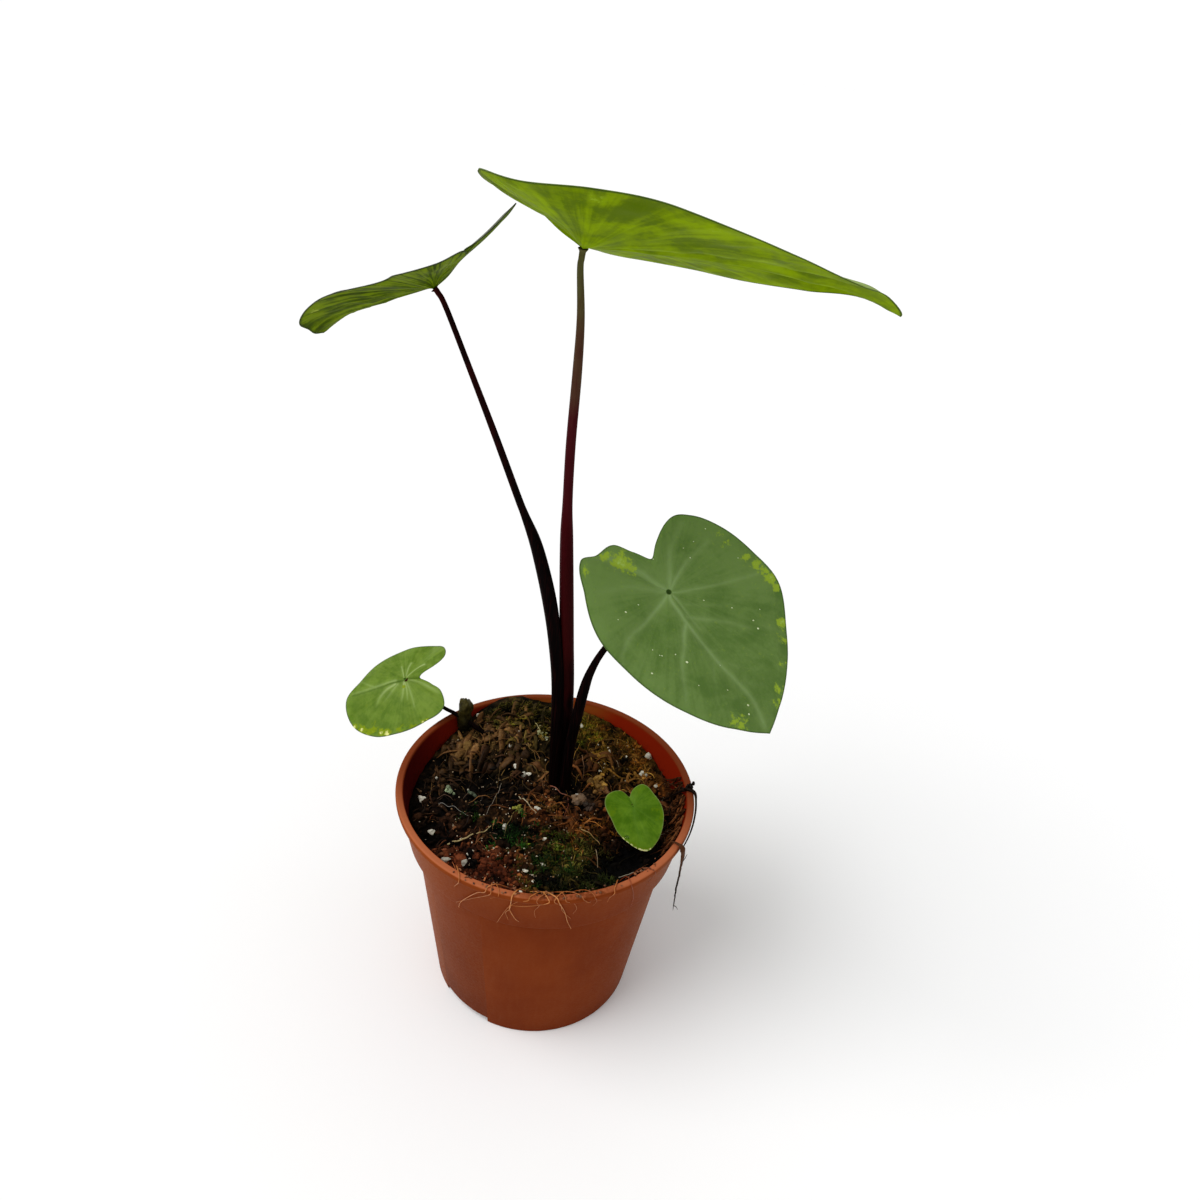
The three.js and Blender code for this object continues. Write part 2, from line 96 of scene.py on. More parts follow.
# Soil, close to the model's. Heaps and hollows are x, y, radius, height.
SOIL_SIDE_Z = 87.5
SOIL_BACK_RISE = 9.5
SOIL_FRONT_RISE = 6.5
SOIL_CENTRE_Z = 90
SOIL_FORMS = [
    (-28, 9, 13, -5.5), (26, -26, 12, -4.5), (-10, -8, 12, 2.6), (-14, -34, 13, 2),
    (24, 24, 14, 2.6), (-22, 34, 13, 2.2), (8, -34, 9, -2), (6, 11, 9, 1.2),
    (-18, 50, 15, 2.6),
]

# Blades, close to the model's. A margin's points are degrees from the tip, reach and rise. A cusp
# is degrees, and how much longer and higher the margin is there. Lobes are how far the left and
# the right back lobe bulge. swell moves the arch outwards, and hook_from is the share of the reach
# from which the tip bends down. Marks are places in the leaf's own frame, from the stalk.
HEART_ROUNDING = 0.04
CUSP_WIDTH = 2.8
LOBE_SCALE = 19
HOOK_FROM = 0.85
HOOK_NARROWNESS = 60
LEAVES = {
    "tall": {
        "at": (-3, 8, 307.8), "heading": 0, "pitch": 0, "roll": 0, "arch": 3.2, "hook": 2.6,
        "hook_from": 0.8, "cusp": (0, 0.5, -1), "lobes": (2.2, 2.2),
        "margin": [
            (0, 99.8, -7.6), (6, 89.8, -6.8), (14, 75.8, -10.1), (28, 63.2, -12.1),
            (45, 53.9, -11.9), (65, 47.9, -11.6), (80, 47.6, -11.3), (88, 47.4, -9.4),
            (97, 47, -3.4), (112, 46.1, 3.6), (124, 45.7, 7.2), (136, 45, 10.8), (152, 38.8, 16),
            (167, 27, 16.2), (180, 19.5, 12.8), (193, 24.8, 17.4), (208, 32.9, 20.8),
            (226, 40.4, 23.9), (248, 45, 24), (272, 45, 24.5), (295, 47.5, 22.5), (315, 56.4, 17),
            (332, 67.5, 10), (345, 83.5, 2), (353, 92.5, -1.3),
        ],
    },
    "left": {
        "at": (-48.4, 12, 290.4), "heading": 152, "pitch": 0, "roll": 0, "arch": 1.7, "hook": 1,
        "swell": 2, "cusp": (-3, 0.4, -1.5), "lobes": (2, 1.5),
        "margin": [
            (0, 48.8, -24), (7, 48.2, -21.8), (14, 47.5, -19.2), (24, 42, -12.4), (36, 35, -5.5),
            (54, 27.8, 0), (78, 19, 5), (104, 24, 9.5), (128, 24.5, 13.5), (148, 21.6, 16.4),
            (166, 15, 13.8), (180, 11.2, 13.7), (194, 14.2, 16.4), (208, 18.5, 20.7),
            (222, 24.6, 26.4), (240, 23.9, 20.5), (262, 21.5, 12.5), (285, 22, 4.7),
            (305, 25.6, -1), (325, 33.8, -8), (343, 42.4, -17),
        ],
    },
    "right": {
        "at": (37.2, 0, 194.6), "heading": -39, "pitch": 35, "roll": 20, "arch": 2, "hook": 0,
        "cusp": (0, 1.9, 0),
        "margin": [
            (0, 58.9, 0), (10, 56, 0), (26, 48.8, 3), (41, 44.5, 3.2), (62, 40.6, 5.8),
            (82, 35.5, 5), (106, 32.9, 3.4), (128, 30.5, 3.5), (141, 28.5, 2.5), (158, 19, 1.8),
            (172, 13.5, 0.8), (188, 19.6, 0.5), (196, 25.8, 0.7), (212, 29.2, 1.2),
            (221, 34, 3.8), (243, 32.5, 4.8), (271, 34.5, 5.8), (297, 36, 4.5),
            (326, 43.5, 4.2), (347, 53, 3),
        ],
    },
    "low": {
        "at": (-65, 45, 112.8), "heading": -174, "pitch": 20, "roll": -20, "arch": 1, "hook": 0,
        "margin": [
            (5, 27.5, -1.2), (27, 29.5, -4.9), (48, 27, -6.8), (71, 23.4, -6.2),
            (104, 20.5, -6.5), (132, 21.8, -4.7), (147, 17.8, -1.2), (155, 12.5, -1.6),
            (173, 6.5, -1.2), (190, 9.2, -0.5), (205, 19.5, -2.5), (214, 22, -2.5),
            (237, 22, -6.8), (256, 19.6, -5), (285, 20, -6.4), (322, 20, -3.2), (346, 21.5, -1),
        ],
    },
    "young": {
        "at": (34.8, -10, 100.5), "heading": -71, "pitch": 20, "roll": 5, "arch": 0.5, "hook": 0,
        "margin": [
            (0, 19, 0), (14, 17.5, 0.5), (32, 15, 1), (51, 13, 1.5), (104, 10, 1.5),
            (142, 10.5, 1), (164, 7.5, 0.5), (184, 4.5, 0), (201, 8, 0.5), (230, 11, 1),
            (248, 11.5, 1.5), (291, 11, 1.5), (318, 13.5, 1), (337, 16, 1),
        ],
    },
}

# Stalks, close to the model's: x, y, z, radius from the corm to the blade.
STALKS = {
    "tall": [
        (6, 12.4, 72, 2.6), (6.7, 13.4, 85, 2.9), (6, 13.2, 104.5, 2.8), (4.8, 12.8, 138.5, 2.7),
        (3, 12.5, 161.5, 2.7), (1.5, 12.3, 180, 2.7), (-0.4, 11.6, 206, 2.4),
        (-1.2, 11.2, 221, 1.8), (-1.75, 10.5, 243, 1.7), (-1.6, 9.7, 268, 1.6),
        (-1.9, 9, 286, 1.3), (-3.25, 8.3, 301, 1.05), (-3.15, 8.1, 304.8, 1), (-2.9, 8, 307.7, 1.1),
    ],
    "left": [
        (3.4, 10.8, 72, 2.2), (3.2, 11, 89, 2.5), (2.5, 11, 106, 2.4), (1, 11, 140, 2.4),
        (-1.6, 11, 162.5, 2.6), (-5.3, 11, 182, 2.7), (-10.8, 11, 202, 2.3),
        (-15.8, 11, 214.5, 1.5), (-18.3, 11, 220.5, 1.35), (-27.3, 11.1, 243.3, 1.2),
        (-36.1, 11.5, 264.6, 1), (-44.5, 11.9, 284.6, 0.9), (-47.2, 12, 289.2, 0.9),
        (-48.2, 12, 290.3, 0.95),
    ],
    "right": [
        (7, 9, 72, 2.1), (8, 8.1, 87, 2.3), (7.6, 7.9, 98, 2.2), (8, 7.7, 114.5, 2.1),
        (9.9, 7.6, 132, 2.1), (11.3, 7.4, 143.5, 2), (13, 7.2, 152, 1.6),
        (16.7, 7, 162, 1.25), (25, 6, 177.7, 1.15), (32.5, 3.4, 187.5, 1.1),
        (36.6, 1, 193, 1.1), (37.2, 0.1, 194.5, 1.1),
    ],
    "low": [
        (0, 14, 64, 1.3), (-10, 20, 77, 1.2), (-19, 29.5, 87.5, 1.1), (-24.2, 33.4, 92.4, 1),
        (-33.2, 35.7, 97.2, 1), (-42, 38.4, 101.2, 0.85), (-47.2, 40.8, 102, 0.8),
        (-56, 43.6, 105.5, 0.75), (-64.8, 44.9, 112.6, 0.8),
    ],
    "young": [
        (12, 8, 66, 1.1), (22, 4, 77, 1), (29, 0, 88, 0.9), (32.6, -5.4, 95.5, 0.8),
        (34.8, -9.9, 100.4, 0.8),
    ],
}

# Where each stalk's sheath ends, which way its edge faces (in radians), and how far up the
# stalk's colours it gets.
SHEATHS = {
    "tall": (218, 1.2, 1.0), "left": (212, 2.6, 0.24), "right": (152, 0.4, 0.2),
    "low": (70, 0, 0.3), "young": (70, 0, 0.6),
}
CLIMB_FROM = 88

BARK_AT = (-37.8, 38.2, 101.9)
BARK_WIDTH = 2.9
BARK_HALF_HEIGHT = 7.5

# Dry strip: its angle round the pot, share of the length with the half width there, and a path of
# radius and height.
STRIP_ANGLE = -29.3
STRIP_WIDTHS = [
    (0, 0.3), (0.35, 0.35), (0.5, 0.7), (0.6, 1.2), (0.72, 1.3), (0.78, 0.85), (0.85, 0.65),
    (0.9, 0.55), (0.97, 0.4), (1, 0.1),
]
STRIP_PATH = [
    (48, 88.5), (52, 93), (55.2, 98), (56.3, 100.4), (57.8, 101.3), (59.6, 101.3), (61.2, 100.4),
    (61.9, 97.5), (61.9, 88), (61.7, 78), (62, 66),
]


# Plain helpers


def linear(code):
    """Scene colour of a hex code."""
    parts = [int(code[i : i + 2], 16) / 255 for i in (1, 3, 5)]
    return tuple(p / 12.92 if p <= 0.04045 else ((p + 0.055) / 1.055) ** 2.4 for p in parts)


def unit(vectors):
    """Vectors scaled to length 1."""
    length = np.linalg.norm(vectors, axis=-1, keepdims=True)
    return vectors / np.maximum(length, 1e-9)


def smooth(value, low, high):
    """0 below low, 1 above high, eased between them."""
    share = np.clip((np.asarray(value, float) - low) / (high - low), 0, 1)
    return share * share * (3 - 2 * share)


def grain(points, size, seed=0):
    """Smooth noise from -1 to 1 with bumps of about the given size in millimetres."""
    scaled = np.asarray(points, float) / size
    cell = np.floor(scaled).astype(np.int64)
    part = scaled - cell
    part = part * part * (3 - 2 * part)
    total = np.zeros(len(scaled))
    for corner in range(8):
        offset = np.array([corner & 1, corner >> 1 & 1, corner >> 2 & 1])
        spot = cell + offset
        mixed = spot @ np.array([73856093, 19349663, 83492791]) + seed * 9176263
        mixed = (mixed ^ (mixed >> 13)) * 1274126177 & 0xFFFFFFFF
        mixed = (mixed ^ (mixed >> 15)) * 668265263 & 0xFFFFFFFF
        weight = np.prod(np.where(offset, part, 1 - part), axis=1)
        total += weight * ((mixed & 0xFFFF) / 0x7FFF - 1)
    return total


def curve_through(points, steps):
    """Catmull-Rom curve through points of any width, with that many steps a span."""
    points = np.asarray(points, float)
    ends = np.vstack([2 * points[0] - points[1], points, 2 * points[-1] - points[-2]])
    t = (np.arange(steps) / steps)[:, None]
    spans = []
    for a, b, c, d in zip(ends, ends[1:], ends[2:], ends[3:]):
        spans.append(
            0.5 * (2 * b + (c - a) * t + (2 * a - 5 * b + 4 * c - d) * t**2)
            + 0.5 * (3 * b - a - 3 * c + d) * t**3
        )
    return np.vstack(spans + [points[-1:]])


# Meshes


def make_piece(name, points, faces, materials, replaces=(), face_finish=None, smoothed=True):
    """A mesh piece in the model's frame that rides on the body, from points in millimetres."""
    mesh = bpy.data.meshes.new(name)
    mesh.from_pydata((np.asarray(points, float) * MM).tolist(), [], faces)
    for material in materials:
        mesh.materials.append(material)
    if face_finish is not None:
        mesh.polygons.foreach_set("material_index", np.asarray(face_finish, np.int32))
    mesh.polygons.foreach_set("use_smooth", np.full(len(mesh.polygons), smoothed))
    mesh.update()
    piece = bpy.data.objects.new(name, mesh)
    bpy.context.scene.collection.objects.link(piece)
    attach(piece, "root")
    if replaces:
        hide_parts(*replaces)
    return piece


def add_field(piece, name, values):
    """Stores a number or a vector for each point, which the finish reads by name."""
    values = np.asarray(values, np.float32)
    kind = "FLOAT" if values.ndim == 1 else "FLOAT_VECTOR"
    field = piece.data.attributes.new(name, kind, "POINT")
    field.data.foreach_set("value" if values.ndim == 1 else "vector", values.ravel())


def ring_faces(rings, sides, first=0):
    """Quads between rings of points that follow each other."""
    faces = []
    for ring in range(rings - 1):
        start = first + ring * sides
        for side in range(sides):
            following = (side + 1) % sides
            faces.append(
                (start + side, start + following, start + sides + following, start + sides + side)
            )
    return faces


def capped_faces(rings, sides):
    """Faces of a closed body of a first point, rings of points and a last point."""
    faces = ring_faces(rings, sides, 1)
    last = rings * sides + 1
    for side in range(sides):
        following = (side + 1) % sides
        faces.append((0, 1 + following, 1 + side))
        faces.append((last, last - sides + side, last - sides + following))
    return faces


def tube(centres, radii, sides=6, flat=1.0, turn=0.0):
    """Points and faces of a closed tube. flat below 1 makes it a strip."""
    centres = np.asarray(centres, float)
    axes = unit(np.gradient(centres, axis=0))
    side = unit(np.cross(axes[0], (0.31, 0.17, 0.93) if abs(axes[0][2]) < 0.9 else (0, 1, 0)))
    sides_at = []
    for axis in axes:
        side = unit(side - axis * (side @ axis))
        sides_at.append(side)
    across = np.array(sides_at)
    up = np.cross(axes, across)
    angles = 2 * np.pi * np.arange(sides) / sides
    turned = np.cos(turn) * across + np.sin(turn) * up
    lifted = np.cos(turn) * up - np.sin(turn) * across
    radii = np.broadcast_to(radii, len(centres))[:, None, None]
    rings = (
        centres[:, None]
        + radii * np.cos(angles)[None, :, None] * turned[:, None]
        + radii * flat * np.sin(angles)[None, :, None] * lifted[:, None]
    )
    count = len(centres)
    faces = ring_faces(count, sides)
    faces.append(tuple(reversed(range(sides))))
    faces.append(tuple(range((count - 1) * sides, count * sides)))
    return rings.reshape(-1, 3), faces


def ball(rings, sides):
    """Points and faces of a unit ball."""
    points = [(0, 0, -1)]
    for ring in range(1, rings):
        lift = math.pi * ring / rings
        for side in range(sides):
            turn = 2 * math.pi * side / sides
            points.append(
                (math.sin(lift) * math.cos(turn), math.sin(lift) * math.sin(turn), -math.cos(lift))
            )
    points.append((0, 0, 1))
    return np.array(points), capped_faces(rings - 1, sides)


class Heap:
    """Many small shapes joined in one mesh, each with its own tone."""

    def __init__(self):
        self.points = []
        self.faces = []
        self.tones = []
        self.count = 0

    def add(self, points, faces, tone):
        self.points.append(points)
        self.faces.extend([tuple(i + self.count for i in face) for face in faces])
        self.tones.append(np.broadcast_to(tone, (len(points), 3)))
        self.count += len(points)

    def build(self, name, material, smoothed=True):
        piece = make_piece(
            name, np.vstack(self.points), self.faces, [material], smoothed=smoothed
        )
        add_field(piece, "tone", np.vstack(self.tones))
        return piece


# Finishes


class Finish:
    """A node material. Each method adds a node and returns the socket that it gives."""

    def __init__(self, name, roughness=0.5, **settings):
        self.material = bpy.data.materials.new(name)
        self.material.use_nodes = True
        self.nodes = self.material.node_tree.nodes
        self.links = self.material.node_tree.links
        self.shader = self.nodes["Principled BSDF"]
        self.shader.inputs["Roughness"].default_value = roughness
        for socket, value in settings.items():
            self.shader.inputs[socket.replace("_", " ")].default_value = value

    def put(self, node, socket, value):
        """Links or sets a socket. A text is the hex code of a colour."""
        target = node.inputs[socket]
        if isinstance(value, str):
            value = linear(value)
        if isinstance(value, bpy.types.NodeSocket):
            self.links.new(value, target)
        elif isinstance(value, tuple) and len(value) == 3 and target.type == "RGBA":
            target.default_value = (*value, 1)
        else:
            target.default_value = value

    def node(self, kind, output=0, inputs=None, **settings):
        made = self.nodes.new(kind)
        for key, value in settings.items():
            setattr(made, key, value)
        for socket, value in (inputs or {}).items():
            self.put(made, socket, value)
        return made.outputs[output]

    def field(self, name, output="Fac"):
        return self.node("ShaderNodeAttribute", output, attribute_name=name)

    def place(self):
        """Place in the model's frame, in millimetres."""
        spot = self.node("ShaderNodeTexCoord", "Object")
        return self.stretch(spot, (1 / MM, 1 / MM, 1 / MM))

    def stretch(self, vector, scale):
        return self.node(
            "ShaderNodeVectorMath", inputs={0: vector, 1: scale}, operation="MULTIPLY"
        )

    def height(self):
        return self.node("ShaderNodeSeparateXYZ", "Z", {"Vector": self.place()})

    def noise(self, vector, size, detail=3.0, rough=0.55, twist=0.0):
        inputs = {
            "Vector": vector, "Scale": 1 / size, "Detail": detail,
            "Roughness": rough, "Distortion": twist,
        }
        return self.node("ShaderNodeTexNoise", 0, inputs)

    def cells(self, vector, size):
        """Distance to the middle of the nearest cell."""
        return self.node("ShaderNodeTexVoronoi", "Distance", {"Vector": vector, "Scale": 1 / size})

    def ease(self, value, low, high, start=0.0, end=1.0):
        inputs = {
            "Value": value, "From Min": low, "From Max": high, "To Min": start, "To Max": end,
        }
        return self.node("ShaderNodeMapRange", 0, inputs, interpolation_type="SMOOTHSTEP")

    def math(self, operation, a, b=0.0):
        return self.node("ShaderNodeMath", inputs={0: a, 1: b}, operation=operation)

    def times(self, a, b):
        return self.math("MULTIPLY", a, b)

    def plus(self, a, b):
        return self.math("ADD", a, b)

    def mix(self, share, a, b, blend="MIX"):
        inputs = {0: share, 6: a, 7: b}
        return self.node("ShaderNodeMix", 2, inputs, data_type="RGBA", blend_type=blend)

    def ramp(self, value, stops):
        made = self.nodes.new("ShaderNodeValToRGB")
        elements = made.color_ramp.elements
        while len(elements) < len(stops):
            elements.new(0.5)
        for element, (position, tone) in zip(elements, stops):
            element.position = position
            element.color = (*linear(tone), 1)
        self.links.new(value, made.inputs[0])
        return made.outputs[0]

    def bump(self, height, depth, strength=1.0):
        inputs = {"Height": height, "Distance": depth * MM, "Strength": strength}
        return self.node("ShaderNodeBump", 0, inputs)

    def finish(self, colour, roughness=None, normal=None):
        self.put(self.shader, "Base Color", colour)
        if roughness is not None:
            self.put(self.shader, "Roughness", roughness)
        if normal is not None:
            self.put(self.shader, "Normal", normal)
        return self.material


# Blades


def margin_at(margin, degrees):
    """Reach and rise of a smooth closed curve through the margin's points."""
    count = len(margin)
    degrees = degrees % 360
    angle = degrees + 360 if degrees < margin[0][0] else degrees
    here = count - 1
    while here > 0 and margin[here][0] > angle:
        here -= 1
    around = []
    for offset in (-1, 0, 1, 2):
        turns, index = divmod(here + offset, count)
        a, reach, rise = margin[index]
        around.append(np.array([a + 360 * turns, reach, rise]))
    before, start, end, after = around
    span = end[0] - start[0]
    t = (angle - start[0]) / span
    leave = (end - before)[1:] / (end - before)[0] * span
    arrive = (after - start)[1:] / (after - start)[0] * span
    return (
        (2 * t**3 - 3 * t**2 + 1) * start[1:]
        + (t**3 - 2 * t**2 + t) * leave
        + (3 * t**2 - 2 * t**3) * end[1:]
        + (t**3 - t**2) * arrive
    )


def leaf_turn(leaf):
    """The leaf's own axes as columns, in the model's frame."""
    roll, pitch, heading = (math.radians(leaf[k]) for k in ("roll", "pitch", "heading"))
    turn = Matrix.Rotation(heading, 3, "Z") @ Matrix.Rotation(pitch, 3, "Y")
    return np.array(turn @ Matrix.Rotation(roll, 3, "X"))


# Veins of the right, low and young leaves in the leaf's plane: half width, strength at the start
# and at the end (below zero where the vein is a crease with painted shade), points from the
# stalk outwards.
RIGHT_VEINS = [
    (0.75, 1.0, 0.5, [(0, 0), (3.1, -1.6), (8.1, -1.9), (12.7, -2.5), (21.6, -2.1), (33, -1.2),
                      (46.2, 1.4), (58, -0.4)]),
    (0.8, 0.8, 0.15, [(12.7, -2.5), (16, -6.6), (19.5, -9.5), (24, -14.2), (31.5, -18.9),
                      (37, -22.5)]),
    (0.7, 0.5, 0.1, [(11, -0.8), (15, 4), (17.7, 7.3), (21.5, 11.4), (26, 15.3), (31, 22.8)]),
    (0.6, 0.6, 0.3, [(0, 0), (1.7, 2.1), (4.2, 7.9), (6.4, 13.2), (9, 20.3), (12.5, 31)]),
    (0.9, 0.9, 0.25, [(0, 0), (-1.4, 2.7), (-3.9, 8.1), (-5.6, 13), (-7.4, 23.6)]),
    (1.1, 0.8, 0.15, [(0, 0), (-2.2, 2.1), (-6.4, 5.1), (-10.6, 8.1), (-13.4, 11), (-17.8, 19.1)]),
    (1.2, 0.75, 0.5, [(0, 0), (-4.9, -2.4), (-10.2, -4.2), (-14.1, -6.4), (-23.3, -13.2)]),
    (1.0, 0.5, 0.1, [(0, 0), (-1.4, -2.3), (-5, -7), (-8.5, -11.9), (-10.6, -17.6),
                     (-12.8, -24.7)]),
    (0.8, 0.85, 0.2, [(0, 0), (2, -5), (3.4, -10.7), (5, -16.9), (5.8, -23.4), (9.1, -29.7),
                      (12.8, -32.5)]),
    (0.6, 0.7, 0.2, [(2, 0.3), (5.9, 0.6), (12.6, 0.3), (17.6, 0.6)]),
    (0.5, 0.25, 0.05, [(27.7, -1.7), (32, 1), (38.4, 7.5), (41, 12)]),
    (0.5, 0.25, 0.05, [(38, 0), (43.3, 4.9), (47, 10)]),
    (0.5, 0.2, 0.05, [(27.7, -1.7), (34, -7), (42, -12)]),
    (0.5, 0.2, 0.05, [(5.9, 0.6), (10, 6), (15, 14), (18, 24)]),
]
LOW_VEINS = [
    (0.3, -0.9, -0.6, [(-6.4, 0.8), (-3.3, 0.5), (0, 0.7), (3.5, 0.7), (6.5, 0.8), (10.4, 1.3),
                       (17.9, 1.6), (24, 1.2)]),
    (0.45, 0.55, 0.25, [(4, 0), (6.5, 0), (10.4, 0.4), (17.9, 0.7), (24, 0.3)]),
    (0.35, 1.0, 0.15, [(0.4, 1.2), (0.8, 2.2), (1.1, 3.6), (2.2, 7.2), (2.9, 9.1)]),
    (0.3, 0.8, 0.2, [(0.2, 1.8), (0, 4.6), (0.1, 6.9), (0.4, 9)]),
    (0.4, 0.5, 0.25, [(-0.6, 2), (-1.7, 8.2), (-2, 12.6)]),
    (0.3, -0.5, -0.2, [(-1.5, 1.2), (-5.4, 3.8), (-8.1, 6.7), (-12.4, 11)]),
    (0.5, 0.45, 0.25, [(-1.5, 0.8), (-6.5, 3.4), (-10.3, 6.9), (-13.9, 10.2)]),
    (0.45, 0.9, 0.1, [(4.5, 1.4), (8.7, 2.9), (12, 5.4), (14.2, 8.5)]),
    (0.4, 0.5, 0.1, [(3.4, 1.6), (7, 4.6), (10.2, 7.3)]),
    (0.25, 0.7, 0.5, [(0.3, -0.6), (1.1, -4.1), (2.1, -8.9)]),
    (0.3, -0.6, -0.3, [(0, -0.6), (0.4, -5.3), (1, -11.1)]),
    (0.3, 0.5, 0.9, [(-0.8, -0.6), (-3.7, -3.4), (-6.8, -5), (-8.8, -5.6)]),
    (0.3, 0.5, 0.6, [(-0.5, -1.6), (-1.4, -6.4), (-2.5, -9.1)]),
    (0.3, -0.35, -0.2, [(0.8, -0.4), (4.4, -3), (9.5, -9.8)]),
    (0.35, 0.4, 0.15, [(13, 1), (17, -2), (21, -6)]),
]
YOUNG_VEINS = [
    (0.7, 0.7, 0.4, [(-4, 1), (-2.9, 1.1), (0.2, 0.3), (3.6, -0.7), (9, -1.4), (14, -1)]),
    (0.35, 0.3, 0.1, [(0.2, 0.3), (4, 3), (9, 5.5)]),
    (0.35, 0.3, 0.1, [(0.2, 0.3), (3, -4), (8, -8)]),
    (0.35, 0.3, 0.1, [(0, 0), (-3, 4), (-5, 8)]),
    (0.35, 0.3, 0.1, [(0, 0), (-3, -4), (-5, -7)]),
]

# Broad lighter and darker places of each leaf, partly its own tone and partly painted light and
# shade where the blade folds and bends: x, y, half length, half width, degrees from the leaf's
# axis, and how much lighter (or darker, below zero).
SHADES = {
    "tall": [
        (-6, -37, 5, 9, 0, -0.9), (10, -34, 11, 8, 0, -1.1), (17, -39, 5, 4, 0, -0.6),
        (33, -17, 9, 6, -8, -0.9), (45, -19.5, 8, 4, -6, -0.8), (3.5, -39, 4, 4, 0, 0.9),
        (5, -22, 7, 5, 0, 0.4), (26, -34, 6, 3.5, 0, 0.5), (34, -36, 7, 4, 0, 0.7),
        (41, -36, 4, 4, 0, 0.8), (51, -16, 7, 3, 0, 0.9), (59, -3, 8, 3, 0, 0.8),
        (-14, -33, 6, 9, 0, 0.7), (-21, -38, 3.5, 5, 0, -0.9), (72, -7, 9, 4, 0, -0.6),
        (84, -3, 6, 3, 0, 0.3),
    ],
    "left": [
        (2.5, 15, 4, 1.6, 20, 0.9), (7, 18.5, 4, 1.6, 10, 1.0), (36.4, 15, 5, 3, 0, 1.0),
        (30, 18, 5, 2.5, -10, 0.8), (41, 8.6, 4, 2.5, 0, 0.8), (5.3, 7.5, 5, 1.4, 40, -1.0),
        (10, 11, 6, 1.3, 20, -1.0), (19, 15, 6, 1.4, 10, -0.7), (20, 7, 12, 3, 5, -0.5),
        (-15, 11, 6, 5, 0, 0.4), (-4, -2, 3, 6, 0, -0.4), (-17, -9, 2, 3, 0, -1.2),
    ],
    "right": [
        (0, 0, 12, 10, 0, 0.55), (-18, -16, 13, 13, 0, 1.3), (-6, -30, 11, 8, 0, 1.1),
        (20, -30, 12, 5, -20, 0.35), (30, -12, 12, 6, 0, -0.3), (22, 18, 10, 6, 0, -0.25),
        (40, -22, 12, 4, 20, 0.35), (-16, 27, 11, 9, 0, 1.2), (8, 26, 13, 9, 0, 1.1),
        (48, 4, 8, 6, 0, -0.35), (2, -19, 8, 7, 0, -0.1), (52, -6, 6, 4, 0, -0.2),
    ],
    "low": [
        (-9, 11, 7, 6, 0, 0.7), (1, 5, 5, 4, 0, 0.6), (8, 11, 7, 4, 0, -0.4),
        (12, -6, 8, 5, 0, -0.25), (-5, -8, 8, 5, 0, 0.35), (22, 8, 5, 7, 0, -0.35),
        (6, 18, 8, 3, 0, -0.2), (2, -12, 8, 3, 0, -0.2),
    ],
    "young": [
        (4.3, 3.8, 2.2, 4.2, 30, -1.1), (6, -4.1, 3.4, 1.8, 0, -0.6), (-1.3, -0.6, 2, 0.9, 0, -0.6),
        (9, 1.5, 3.4, 2.4, 0, 0.35), (1, -4.5, 3, 2.5, 0, 0.3), (12, -4, 3, 3, 0, 0.2),
    ],
}

# Variegation: x, y, radius, strength (from 0.9 it is pale). Strengths are broken up by noise.
PATCHES = {
    "tall": [(-19, -34, 3, 0.3), (3, -39, 3, 0.35), (35, -36, 3, 0.35), (51, -16, 3, 0.3)],
    "left": [(36, 15, 3, 0.3), (7, 18, 2, 0.25)],
    "right": [
        (-18.2, -9, 3.6, 0.95), (-22.5, -13, 3, 0.6), (-14.5, -7.2, 2.6, 0.7),
        (-22, -24, 2.4, 0.45), (-13, -30, 2, 0.35), (5, 31.5, 2.2, 0.55), (9, 33, 2.2, 0.8),
        (13, 34, 2, 0.7), (16.5, 34, 2.4, 0.95), (20, 34, 2, 0.75), (32, 28.4, 2.6, 0.75),
        (37, 24.6, 2.2, 0.55), (44, 19, 1.8, 0.4), (50, 12.5, 2, 0.55), (54, 9.5, 2, 0.6),
        (52, -9, 3.4, 0.62), (-5, 29, 3, 0.3),
    ],
    "low": [
        (25.5, 14, 1.6, 0.9), (22.6, 16.2, 1.7, 1.15), (20, 18.4, 1.6, 0.9), (14, 19.4, 1.4, 1.15),
        (11.4, 20.6, 1.6, 1.3), (-4.4, 19.8, 1.1, 1.0), (-6.4, 19.2, 0.9, 0.9),
        (5.5, 21.5, 2.6, 0.6), (17.5, 17.5, 2.4, 0.65), (0.5, 21, 2.4, 0.5), (1.1, 3.4, 0.8, 0.9),
    ],
    "young": [
        (12.6, -8, 1.1, 1.1), (14.4, -6.9, 1.3, 1.25), (15.9, -5.6, 1.5, 1.35),
        (17.2, -4.2, 1.5, 1.4), (18.2, -2.4, 1.4, 1.4), (18.9, -0.6, 1.3, 1.3),
        (18.6, 1.6, 0.9, 1.1), (17.2, 4, 0.8, 0.95), (1, -10, 4, 0.42), (5, 9, 4, 0.4),
        (-7, 6, 3, 0.35),
    ],
}

# Pale flecks on the right blade: x, y, half width.
FLECKS = [
    (-1.9, -20, 0.42), (-1.9, -14.1, 0.25), (20.3, -25.5, 0.4), (17.5, -18.4, 0.25),
    (24, -12, 0.5), (-5.9, 14.2, 0.28), (17.6, 15.5, 0.3), (25.3, 19.1, 0.3), (28.6, 18.9, 0.4),
    (48.4, -1.3, 0.42), (51, -3.1, 0.35), (39.7, -5.2, 0.25), (-12, 25.7, 0.25), (9.5, 8.3, 0.3),
    (31.3, -1.6, 0.2), (14.2, -19.9, 0.2), (19.6, -13.7, 0.22), (-12.9, 2.4, 0.24),
    (-1.1, -24.1, 0.22), (3.8, 28.9, 0.2), (-10.1, 19, 0.2), (-10.2, 14.1, 0.2), (17, -19, 0.2),
    (23.5, 24, 0.2), (33, -14, 0.2),
]


